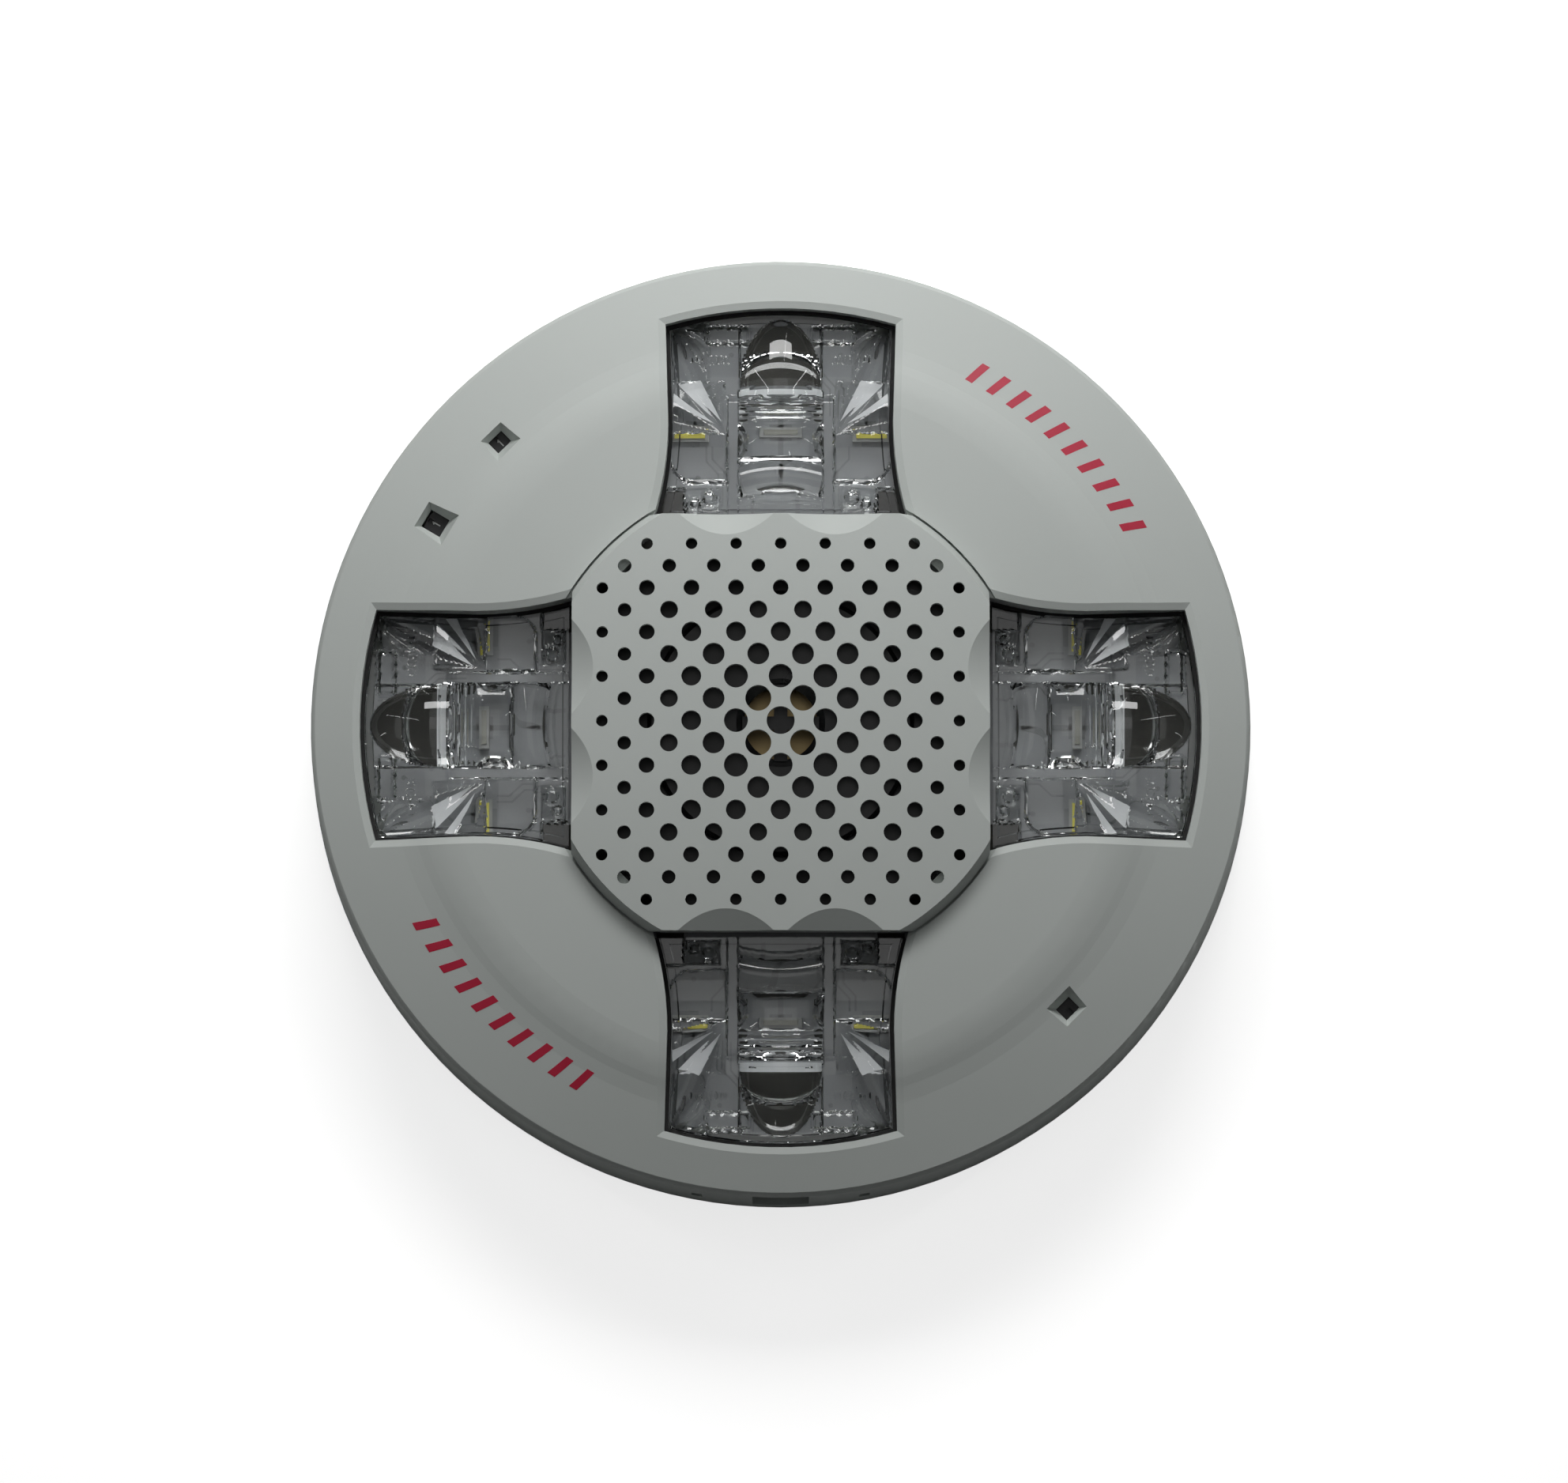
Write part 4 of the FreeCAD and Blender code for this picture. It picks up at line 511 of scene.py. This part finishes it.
def lens_mesh(sizes):
    """Vertices and faces of one lens, lying along +X."""
    u, t, inside, rim = lens_grid(sizes)
    top = np.where(inside, lens_top(u, t, sizes), sizes.flange_top)
    low = lens_bottom(u, t, rim, sizes)
    rows, columns = u.shape
    count = rows * columns
    vertices = np.concatenate([
        np.stack([u, t, top], axis=-1).reshape(-1, 3),
        np.stack([u, t, low], axis=-1).reshape(-1, 3),
    ])
    index = np.arange(count).reshape(rows, columns)
    cells = np.stack([index[:-1, :-1], index[1:, :-1], index[1:, 1:], index[:-1, 1:]], axis=-1)
    cells = cells.reshape(-1, 4)
    faces = cells.tolist() + (cells[:, ::-1] + count).tolist()
    border = np.concatenate([
        index[0, :], index[1:, -1], index[-1, -2::-1], index[-2:0:-1, 0],
    ])
    for here, following in zip(border, np.roll(border, -1)):
        faces.append([int(here), int(following), int(following + count), int(here + count)])
    return vertices, faces


def turned(vertices, degrees):
    """Vertices turned about Z."""
    angle = math.radians(degrees)
    turn = np.array([[math.cos(angle), math.sin(angle), 0],
                     [-math.sin(angle), math.cos(angle), 0], [0, 0, 1]])
    return vertices @ turn


# ---------------------------------------------------------------- printing
# How far printing is let into the surface under it, and the angles the two rows stand at.
BAR_INLET, NUMBER_INLET = 0.02, 0.01
BAR_ROWS = {"printed_bars_upper": 45.4, "printed_bars_lower": 225.4}
# The dials' numbers, in millimetres: height, pen width, step, radius and ink thickness.
NUMBER_COUNT = 8
NUMBER_HEIGHT, NUMBER_PEN, NUMBER_STEP = 1.5, 0.22, 0.6
NUMBER_RADIUS, NUMBER_INK = 4.3, 0.04

# Strokes on a grid one unit high: each is a run of points, and its width is the pen's.
GLYPHS = {
    "1": (0.3, [[(0, 0.75), (0.2, 1), (0.2, 0)]]),
    "2": (0.6, [[(0, 0.8), (0.15, 1), (0.45, 1), (0.6, 0.8), (0.55, 0.55), (0, 0), (0.6, 0)]]),
    "3": (0.6, [[(0, 1), (0.6, 1), (0.25, 0.6), (0.55, 0.5), (0.6, 0.2), (0.4, 0), (0, 0.05)]]),
    "4": (0.6, [[(0.45, 0), (0.45, 1), (0, 0.3), (0.62, 0.3)]]),
    "5": (0.6, [[(0.6, 1), (0.05, 1), (0, 0.55), (0.4, 0.6), (0.6, 0.35), (0.45, 0.02),
                 (0, 0)]]),
    "6": (0.6, [[(0.5, 1), (0.1, 0.7), (0, 0.25), (0.2, 0), (0.5, 0), (0.6, 0.3), (0.4, 0.52),
                 (0.05, 0.45)]]),
    "7": (0.6, [[(0, 1), (0.6, 1), (0.25, 0)]]),
    "8": (0.6, [[(0.3, 0.52), (0.05, 0.75), (0.15, 1), (0.45, 1), (0.55, 0.75), (0.3, 0.52),
                 (0.0, 0.25), (0.15, 0), (0.45, 0), (0.6, 0.25), (0.3, 0.52)]]),
}


def stroke_quads(points, width, step):
    """A run of short quads along a pen stroke."""
    quads = []
    for start, end in zip(points, points[1:]):
        start = Vector(start)
        end = Vector(end)
        along = (end - start).normalized()
        side = Vector((-along.y, along.x)) * width / 2
        reach = (end - start).length
        pieces = max(1, math.ceil(reach / step))
        for piece in range(pieces):
            here = start + along * reach * piece / pieces
            there = start + along * reach * (piece + 1) / pieces
            quads.append([here + side, here - side, there - side, there + side])
    for joint in points[1:-1]:
        centre = Vector(joint)
        quads.append([centre + Vector((math.cos(a), math.sin(a))) * width / 2
                      for a in (k * math.pi / 4 for k in range(8))])
    return quads


def numeral_quads(numeral, height, width, step):
    """The flat quads of a numeral, centred on nought along its line."""
    advance, strokes = GLYPHS[numeral]
    quads = []
    for stroke in strokes:
        points = [((x - advance / 2) * height, y * height) for x, y in stroke]
        quads += stroke_quads(points, width, step)
    return quads


def bar_quads(start, end, width, pieces):
    """A straight bar with square ends, in short pieces that can follow the flange."""
    quads = []
    for piece in range(pieces):
        low, high = piece / pieces, (piece + 1) / pieces
        row = [Vector(start).lerp(Vector(end), part) for part in (low, high)]
        side = Vector((width / 2, 0))
        quads.append([row[0] - side, row[0] + side, row[1] + side, row[1] - side])
    return quads


def raise_quads(quads, place, ink):
    """Closed slivers of ink: each quad, mapped to a surface by place(x, y, lift)."""
    vertices = []
    faces = []
    for quad in quads:
        first = len(vertices)
        count = len(quad)
        vertices += [place(p.x, p.y, 0.0) for p in quad]
        vertices += [place(p.x, p.y, ink) for p in quad]
        faces.append([first + k for k in range(count)][::-1])
        faces.append([first + count + k for k in range(count)])
        for k in range(count):
            after = (k + 1) % count
            faces.append([first + k, first + after, first + count + after, first + count + k])
    return vertices, faces


def flange_height(radius):
    """Height of the flange at a radius, as the cover's straight slope."""
    foot, foot_level = 70.2, 26.2
    edge, edge_level = 84.1, 23.6
    return foot_level + (edge_level - foot_level) * (radius - foot) / (edge - foot)


# ---------------------------------------------------------------- board tracks
# Runs of copper under the mask, as points in distance out and distance across, with widths.
TRACKS = (
    (0.5, [(53, 16.4), (60, 16.4), (63, 13.4), (71, 13.4)]),
    (0.5, [(53, -16.4), (61, -16.4), (64, -13.4), (71, -13.4)]),
    (0.8, [(54, 0), (61, 0), (65, 4), (72, 4)]),
    (0.8, [(54, 0), (46, 0), (43, -3), (39, -3)]),
    (0.35, [(39, 10.6), (47, 10.6), (49, 12.6), (51, 12.6)]),
    (0.35, [(39, 11.6), (46.6, 11.6), (48.6, 13.6), (51, 13.6)]),
    (0.35, [(39, -10.6), (47, -10.6), (49, -12.6), (51, -12.6)]),
    (0.35, [(57, -9), (62, -9), (66, -5), (73, -5)]),
    (0.35, [(57, -10), (62.4, -10), (66.4, -6), (73, -6)]),
    (0.5, [(39, 5), (43, 5), (45, 7), (50, 7)]),
    (3.4, [(50.9, -16.4), (54.7, -16.4)]),
    (3.4, [(50.9, 16.4), (54.7, 16.4)]),
    (3.4, [(52.1, 0), (55.9, 0)]),
)
VIAS = ((60, 6), (61.6, 6), (63.2, 7.4), (58, -6), (41, 14), (41, -14), (44.6, -7), (68, 9),
        (69.6, 9), (68, -11), (57, 12), (57, -13), (46, 15), (46, -15.6))


# Dark pads of painted shade and bright pads of painted highlight, seen through the clear optics as
# their dark and bright areas. Their outlines are
# in millimetres: distance from the head's centre, then distance sideways.
PAINTED_SHADE_PADS = (
    ((37.2, 17.5), (43.6, 17.5), (43.6, 22.4), (37.2, 22.4)),
    ((50.2, 7.3), (51.6, 5.9), (53.4, 5.4), (55.2, 5.9), (56.6, 7.3)),
    ((47.0, 0.0), (47.0, 4.6), (48.3, 3.4), (48.3, 0.0)),
)
PAINTED_HIGHLIGHT_FILMS = (
    ((55.4, 11.0), (62.9, 14.9), (62.4, 18.4)),
    ((55.4, 11.9), (60.8, 19.3), (58.4, 19.6)),
)
# Root, reach and half width of the nose, whose half-round pad under it is painted shade.
NOSE_ROOT, NOSE_REACH, NOSE_HALF = 62.2, 9.0, 6.8
# The band before the nose is painted highlight.
NOSE_HIGHLIGHT_BAND = (60.6, 62.2)
# Height and thickness of the bright pads of painted highlight.
HIGHLIGHT_FILM_TOP, HIGHLIGHT_FILM_THICK = 22.22, 0.08
PAD_THICK = 0.3
# Inner radius, outer radius and half angle of the pad of painted shade at each corner of the
# grille.
CORNER_SHADE_PAD = (38.9, 45.6, 13.0)
# How far pads and tracks are let into the board.
INLET = 0.01


def board_top():
    """Height of the board's upper face, in millimetres."""
    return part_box("main_board")[1][2] / MM


def both_sides(outlines):
    """The outlines and their mirror images."""
    for outline in outlines:
        yield [Vector(point) for point in outline]
        yield [Vector((along, -across)) for along, across in reversed(outline)]


def raised_pads(outlines, top, thick):
    """Thin pads whose upper face is at the height top."""
    return raise_quads(outlines, lambda x, y, lift: (x, y, top - thick + lift), thick)


def painted_shade_mesh():
    """Matt dark pads on the board that paint shade under the nose, beside the saddle and at the
    corners.
    """
    arc = [k * math.pi / 24 for k in range(25)]
    outlines = list(both_sides(PAINTED_SHADE_PADS))
    outlines.append([Vector((NOSE_ROOT + NOSE_REACH * math.sin(k), NOSE_HALF * math.cos(k)))
                     for k in arc])
    near, far, spread = CORNER_SHADE_PAD
    sweep = [math.radians(45 + spread * (k / 6 - 1)) for k in range(13)]
    outlines.append([Vector((far * math.cos(k), far * math.sin(k))) for k in sweep]
                    + [Vector((near * math.cos(k), near * math.sin(k))) for k in sweep[::-1]])
    vertices, faces = raised_pads(outlines, board_top() - INLET + PAD_THICK, PAD_THICK)
    return np.array(vertices), faces


def painted_highlight_mesh():
    """Bright pads of painted highlight under the clear plate beside each emitter, and a band of it
    before the nose.
    """
    low, high = NOSE_HIGHLIGHT_BAND
    vertices, faces = raised_pads(both_sides(PAINTED_HIGHLIGHT_FILMS), HIGHLIGHT_FILM_TOP, HIGHLIGHT_FILM_THICK)
    band = [Vector((low, -NOSE_HALF)), Vector((high, -NOSE_HALF)), Vector((high, NOSE_HALF)),
            Vector((low, NOSE_HALF))]
    more, shapes = raised_pads([band], board_top() - INLET + PAD_THICK, PAD_THICK)
    faces += [[index + len(vertices) for index in face] for face in shapes]
    return np.array(vertices + more), faces


def track_mesh():
    """Vertices and faces of one window's tracks and vias, lying along +X."""
    longest, via_radius, copper_thick = 50.0, 0.45, 0.045
    quads = []
    for width, points in TRACKS:
        quads += stroke_quads(points, width, longest)
    for x, y in VIAS:
        quads.append([Vector((x + via_radius * math.cos(k * math.pi / 6),
                              y + via_radius * math.sin(k * math.pi / 6))) for k in range(12)])
    vertices, faces = raised_pads(quads, board_top() - INLET + copper_thick, copper_thick)
    return np.array(vertices), faces


def at_each_window(prefix, shape, material):
    """One piece of the same shape behind each lens."""
    vertices, faces = shape
    for name, turn in LENSES.items():
        side = name.removeprefix("lens_")
        piece = mesh_object(f"{prefix}_{side}", turned(vertices, turn), faces, material)
        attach(piece, HEAD)


# ---------------------------------------------------------------- operators
class STROBE_OT_housing(bpy.types.Operator):
    """Off-white moulded plastic on the cover, grille, rear cover and mounting plate."""

    bl_idname = "strobe.housing"
    bl_label = "Housing finish"

    def execute(self, context):
        white = surface("housing_white", (0.575, 0.61, 0.585), (0.605, 0.64, 0.615), (0.50, 0.60),
                        scales=(2600, 26), bump=0.22, depth=0.00003, Specular_IOR_Level=0.42)
        grille = surface("grille_white", (0.575, 0.61, 0.585), (0.605, 0.64, 0.615), (0.48, 0.58),
                         scales=(2400, 34), bump=0.20, depth=0.00003, Specular_IOR_Level=0.42)
        base = surface("base_white", (0.55, 0.58, 0.56), (0.60, 0.63, 0.61), (0.42, 0.55),
                       scales=(1500, 22), bump=0.16, depth=0.00003)
        finish_nodes(white, "front_cover")
        finish_nodes(grille, "grille")
        finish_nodes(base, "rear_cover", "mounting_plate", "latch_keeper")
        return {"FINISHED"}


class STROBE_OT_lenses(bpy.types.Operator):
    """Four clear lens mouldings with their raised optics."""

    bl_idname = "strobe.lenses"
    bl_label = "Lenses"

    def execute(self, context):
        sizes = context.scene.strobe_lens
        clear = clear_plastic("clear_polycarbonate")
        vertices, faces = lens_mesh(sizes)
        for name, turn in LENSES.items():
            piece = mesh_object(name + "_optics", turned(vertices, turn), faces, clear, 24)
            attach(piece, HEAD)
            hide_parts(name)
        return {"FINISHED"}


class STROBE_OT_marks(bpy.types.Operator):
    """Two rows of plain red bars printed on the flange."""

    bl_idname = "strobe.marks"
    bl_label = "Printed bars"

    def execute(self, context):
        sizes = context.scene.strobe_marks
        colour = tuple(sizes.colour)
        paler = tuple(min(1.0, c * 1.2 + 0.008) for c in colour)
        ink = surface("safety_red", colour, paler, (0.38, 0.48), scales=(3000, 120), bump=0.1)
        quads = []
        for step in range(sizes.count):
            along = (step - (sizes.count - 1) / 2) * sizes.pitch
            ends = [(along - sizes.lean / 2, 0.0), (along + sizes.lean / 2, sizes.height)]
            quads += bar_quads(*ends, sizes.width, 6)
        for name, middle in BAR_ROWS.items():
            def place(x, y, lift):
                radius = sizes.inner + y
                angle = math.radians(middle) - x / (sizes.inner + sizes.height / 2)
                return (radius * math.cos(angle), radius * math.sin(angle),
                        flange_height(radius) - BAR_INLET + lift)
            vertices, faces = raise_quads(quads, place, sizes.ink)
            piece = mesh_object(name, vertices, faces, ink)
            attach(piece, HEAD)
        return {"FINISHED"}


class STROBE_OT_dials(bpy.types.Operator):
    """Black selector dials with small pale numbers round the rim."""

    bl_idname = "strobe.dials"
    bl_label = "Selector dials"

    def execute(self, context):
        black = surface("dial_black", (0.012, 0.012, 0.013), (0.03, 0.03, 0.032), (0.35, 0.5),
                        scales=(1800, 60), bump=0.2)
        pale = surface("number_ink", (0.40, 0.41, 0.40), (0.48, 0.49, 0.48), (0.45, 0.55),
                       scales=(3000, 200), bump=0.05)
        finish_nodes(black, "tone_dial", "candela_dial", "volume_dial", "switch_housings")
        for name in ("tone", "candela"):
            low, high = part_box(f"{name}_dial")
            centre = [(low[k] + high[k]) / 2 / MM for k in range(2)]
            facing = math.atan2(centre[1], centre[0])
            vertices = []
            faces = []
            for step in range(NUMBER_COUNT):
                angle = facing + step * 2 * math.pi / NUMBER_COUNT
                quads = numeral_quads(str(step + 1), NUMBER_HEIGHT, NUMBER_PEN, NUMBER_STEP)

                def place(x, y, lift):
                    reach = NUMBER_RADIUS + y
                    return (centre[0] + reach * math.cos(angle) + x * math.sin(angle),
                            centre[1] + reach * math.sin(angle) - x * math.cos(angle),
                            high[2] / MM - NUMBER_INLET + lift)
                more, shapes = raise_quads(quads, place, NUMBER_INK)
                faces += [[k + len(vertices) for k in face] for face in shapes]
                vertices += more
            piece = mesh_object(f"{name}_numbers", vertices, faces, pale)
            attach(piece, f"{name}_selector")
        return {"FINISHED"}


class STROBE_OT_board(bpy.types.Operator):
    """The circuit board, its light emitters and its components."""

    bl_idname = "strobe.board"
    bl_label = "Circuit board"

    def execute(self, context):
        # Painted shade: the board and its tracks are a dark grey that stands in for the shade
        # under the lenses; the tracks' tone against the board is their own.
        mask_and_shade = surface("board_mask_and_shade", (0.26, 0.27, 0.28), (0.33, 0.34, 0.355), (0.28, 0.4),
                       scales=(900, 140), bump=0.12)
        copper = surface("masked_track_and_shade", (0.20, 0.21, 0.215), (0.27, 0.28, 0.285), (0.25, 0.4),
                         scales=(1200, 200), bump=0.1)
        finish_nodes(mask_and_shade, "main_board")
        at_each_window("board_tracks", track_mesh(), copper)
        # Painted shade: matt near-black pads where the optics and the grille's corner holes show
        # only shade.
        shade_paint = surface("painted_shade_matt", (0.020, 0.019, 0.016), (0.045, 0.043, 0.036), (0.6, 0.8),
                       scales=(1500, 220), bump=0.2)
        at_each_window("painted_shade", painted_shade_mesh(), shade_paint)
        # Painted highlight: pale gloss pads that stand in for the optics' bright reflections.
        highlight_paint = surface("painted_highlight_white", (0.74, 0.76, 0.78), (0.86, 0.88, 0.89), (0.15, 0.3),
                         scales=(1800, 300), bump=0.1)
        at_each_window("painted_highlight", painted_highlight_mesh(), highlight_paint)
        ceramic = surface("emitter_ceramic", (0.34, 0.345, 0.34), (0.42, 0.425, 0.42), (0.3, 0.4),
                          scales=(2000, 300), bump=0.1)
        phosphor = surface("phosphor", (0.75, 0.66, 0.06), (0.90, 0.82, 0.14), (0.4, 0.55),
                           scales=(3500, 700), bump=0.3)
        epoxy = surface("component_epoxy", (0.018, 0.018, 0.02), (0.035, 0.035, 0.04),
                        (0.4, 0.6), scales=(2200, 400), bump=0.3)
        sleeve = surface("capacitor_sleeve", (0.02, 0.022, 0.03), (0.035, 0.04, 0.06),
                         (0.2, 0.3), scales=(900, 120), bump=0.1)
        chip = surface("resistor_body", (0.03, 0.03, 0.03), (0.30, 0.29, 0.27), (0.3, 0.5),
                       scales=(2500, 600), bump=0.2)
        finish_nodes(ceramic, "led_packages")
        # Painted shade: the centre emitters' phosphor is dulled to grey.
        centre_emitters_painted_shade(phosphor)
        finish_nodes(phosphor, "led_phosphors")
        finish_nodes(epoxy, "control_chips", "power_inductor", "lead_connector")
        finish_nodes(sleeve, "storage_capacitors")
        finish_nodes(chip, "chip_resistors")
        return {"FINISHED"}


class STROBE_OT_sounder(bpy.types.Operator):
    """The black sounder with its brass disc."""

    bl_idname = "strobe.sounder"
    bl_label = "Sounder"

    def execute(self, context):
        black = surface("sounder_black", (0.010, 0.010, 0.011), (0.022, 0.022, 0.023),
                        (0.25, 0.4), scales=(1500, 60), bump=0.15)
        brass = surface("rolled_brass", (0.30, 0.22, 0.11), (0.44, 0.34, 0.18), (0.22, 0.38),
                        effect="metal", scales=(800,), bump=0.2, metallic=1.0)
        silvered = surface("silvered_ceramic", (0.55, 0.54, 0.50), (0.68, 0.67, 0.63),
                           (0.3, 0.45), scales=(2500, 200), bump=0.15)
        wire = surface("lead_insulation", (0.30, 0.02, 0.015), (0.42, 0.035, 0.03), (0.35, 0.5),
                       scales=(1200, 200), bump=0.15)
        finish_nodes(black, "horn_body", "horn_retainer", "horn_baffle")
        finish_nodes(brass, "piezo_disc")
        finish_nodes(silvered, "piezo_ceramic")
        finish_nodes(wire, "horn_leads")
        return {"FINISHED"}


class STROBE_OT_seals(bpy.types.Operator):
    """Foam pads and seals."""

    bl_idname = "strobe.seals"
    bl_label = "Seals"

    def execute(self, context):
        foam = surface("cell_foam", (0.012, 0.012, 0.012), (0.035, 0.035, 0.035), (0.8, 0.95),
                       scales=(1400, 90), bump=0.6, depth=0.00008)
        finish_nodes(foam, "grille_pads", "lens_seals")
        return {"FINISHED"}


class STROBE_OT_terminals(bpy.types.Operator):
    """Terminal block, screws, clamps and contacts."""

    bl_idname = "strobe.terminals"
    bl_label = "Terminals and screws"

    def execute(self, context):
        block = surface("terminal_black", (0.015, 0.015, 0.017), (0.03, 0.03, 0.033),
                        (0.35, 0.5), scales=(1500, 50), bump=0.2)
        steel = surface("zinc_plate", (0.48, 0.48, 0.46), (0.66, 0.66, 0.64), (0.25, 0.45),
                        effect="metal", scales=(1100,), bump=0.25, metallic=1.0)
        plated = surface("plated_contact", (0.62, 0.50, 0.25), (0.78, 0.66, 0.38), (0.2, 0.35),
                         effect="metal", scales=(1300,), bump=0.2, metallic=1.0)
        finish_nodes(block, "terminal_block")
        finish_nodes(steel, "terminal_clamps", "terminal_screw_1", "terminal_screw_2",
                     "terminal_screw_3", "terminal_screw_4", "cover_screws", "board_screws",
                     "horn_screws", "keeper_screws")
        finish_nodes(plated, "contact_blades", "contact_springs")
        return {"FINISHED"}


class STROBE_OT_latch(bpy.types.Operator):
    """The release latch and its spring."""

    bl_idname = "strobe.latch"
    bl_label = "Release latch"

    def execute(self, context):
        acetal = surface("latch_acetal", (0.60, 0.61, 0.59), (0.68, 0.69, 0.67), (0.32, 0.45),
                         scales=(1500, 90), bump=0.1)
        wire = surface("spring_wire", (0.42, 0.42, 0.43), (0.60, 0.60, 0.61), (0.2, 0.35),
                       effect="metal", scales=(1600,), bump=0.2, metallic=1.0)
        finish_nodes(acetal, "release_latch")
        finish_nodes(wire, "latch_spring")
        coil = bpy.data.objects.new("latch_coil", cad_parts["latch_spring"].data.copy())
        context.scene.collection.objects.link(coil)
        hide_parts("latch_spring")
        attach(coil, "base")
        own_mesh(coil)
        return {"FINISHED"}


# Places of the thin strip lights that the clear optics reflect, and the floor's half width.
GLINTS = {"glint_left": (-0.42, 0.22, 0.42), "glint_right": (0.42, 0.22, 0.42),
          "glint_far": (0.12, 0.52, 0.45)}
FLOOR_HALF = 2000.0


class STROBE_OT_stage(bpy.types.Operator):
    """Pale floor, soft lights and the camera."""

    bl_idname = "strobe.stage"
    bl_label = "Stage"

    def execute(self, context):
        stage = context.scene.strobe_stage
        floor_look = floor_material(tuple(stage.floor_colour), stage.floor_glow)
        side = FLOOR_HALF
        floor = mesh_object("studio_floor", [(-side, -side, 0), (side, -side, 0),
                                             (side, side, 0), (-side, side, 0)],
                            [[0, 1, 2, 3]], floor_look)
        floor.location.z = CAD_BOX[0][2] - 0.0002
        add_light("key_light", (0.0, 0.33, 0.30), (0.0, 0.06, 0.0), (0.36, 0.14), stage.key_power)
        add_light("fill_light", (0.0, 0.10, 0.9), (0.0, 0.0, 0.0), (0.5, 0.4), stage.fill_power)
        for name, spot in GLINTS.items():
            add_light(name, spot, (0.0, 0.0, 0.0), (0.006, 0.5), stage.glint_power)
        world = bpy.data.worlds.new("studio_surround")
        world.use_nodes = True
        background = world.node_tree.nodes["Background"]
        background.inputs["Color"].default_value = (0.95, 0.98, 1.0, 1)
        background.inputs["Strength"].default_value = stage.world_strength
        context.scene.world = world
        place_camera(context.scene, stage)
        return {"FINISHED"}


def floor_material(colour, glow):
    """A pale matt floor that also glows a little where it is looked at directly."""
    material, tree, shader = blank_material("studio_floor")
    group = tree.nodes.new("ShaderNodeGroup")
    group.node_tree = shared("grain")
    group.inputs["Fine scale"].default_value = 60.0
    group.inputs["Broad scale"].default_value = 1.5
    tint = tree.nodes.new("ShaderNodeMix")
    tint.data_type = "RGBA"
    tint.inputs["A"].default_value = (*(c * 0.98 for c in colour), 1)
    tint.inputs["B"].default_value = (*colour, 1)
    seen = tree.nodes.new("ShaderNodeLightPath")
    strength = tree.nodes.new("ShaderNodeMath")
    strength.operation = "MULTIPLY"
    strength.inputs[1].default_value = glow
    tree.links.new(group.outputs["Tone"], tint.inputs["Factor"])
    tree.links.new(tint.outputs["Result"], shader.inputs["Base Color"])
    tree.links.new(seen.outputs["Is Camera Ray"], strength.inputs[0])
    tree.links.new(strength.outputs["Value"], shader.inputs["Emission Strength"])
    shader.inputs["Emission Color"].default_value = (1, 1, 1, 1)
    shader.inputs["Roughness"].default_value = 0.8
    return material


def add_light(name, spot, aim, extent, power):
    """A soft rectangular light aimed at the object."""
    lamp = bpy.data.lights.new(name, "AREA")
    lamp.shape = "RECTANGLE"
    lamp.size, lamp.size_y = extent
    lamp.energy = power
    light = bpy.data.objects.new(name, lamp)
    light.location = spot
    light.rotation_euler = (Vector(aim) - Vector(spot)).to_track_quat("-Z", "Y").to_euler()
    bpy.context.scene.collection.objects.link(light)


def place_camera(scene, stage):
    """The camera nearly square on to the face, a few degrees towards the release slot."""
    lens = bpy.data.cameras.new("camera")
    lens.lens = stage.lens
    lens.sensor_width = 36.0
    lens.clip_start = 0.05
    camera = bpy.data.objects.new("camera", lens)
    aim = Vector((0.0006, -0.0007, 0.0))
    camera.location = aim + stage.distance * Vector(
        (0, -math.cos(stage.elevation), math.sin(stage.elevation)))
    camera.rotation_euler = (math.pi / 2 - stage.elevation, 0, 0)
    scene.collection.objects.link(camera)
    scene.camera = camera
    scene.view_settings.view_transform = "Standard"


OPERATORS = (
    STROBE_OT_housing, STROBE_OT_lenses, STROBE_OT_marks, STROBE_OT_dials, STROBE_OT_board,
    STROBE_OT_sounder, STROBE_OT_seals, STROBE_OT_terminals, STROBE_OT_latch, STROBE_OT_stage,
)


class STROBE_PT_panel(bpy.types.Panel):
    """Lists the pieces in the 3D view's sidebar."""

    bl_idname = "STROBE_PT_panel"
    bl_label = "Horn strobe"
    bl_space_type = "VIEW_3D"
    bl_region_type = "UI"
    bl_category = "Horn strobe"

    def draw(self, context):
        for operator in OPERATORS:
            self.layout.operator(operator.bl_idname)


SETTINGS = {
    "strobe_lens": StrobeLensSettings,
    "strobe_marks": StrobeMarkSettings,
    "strobe_stage": StrobeStageSettings,
}


def register():
    """Registers the settings, operators and panel."""
    for group in SETTINGS.values():
        bpy.utils.register_class(group)
    for operator in OPERATORS:
        bpy.utils.register_class(operator)
    bpy.utils.register_class(STROBE_PT_panel)
    for name, group in SETTINGS.items():
        setattr(bpy.types.Scene, name, bpy.props.PointerProperty(type=group))


def unregister():
    """Takes them off again."""
    for name in SETTINGS:
        delattr(bpy.types.Scene, name)
    bpy.utils.unregister_class(STROBE_PT_panel)
    for operator in reversed(OPERATORS):
        bpy.utils.unregister_class(operator)
    for group in SETTINGS.values():
        bpy.utils.unregister_class(group)


def main():
    """Builds every piece in order."""
    register()
    for operator in OPERATORS:
        action = getattr(bpy.ops.strobe, operator.bl_idname.split(".")[1])
        action()


if __name__ == "__main__":
    main()
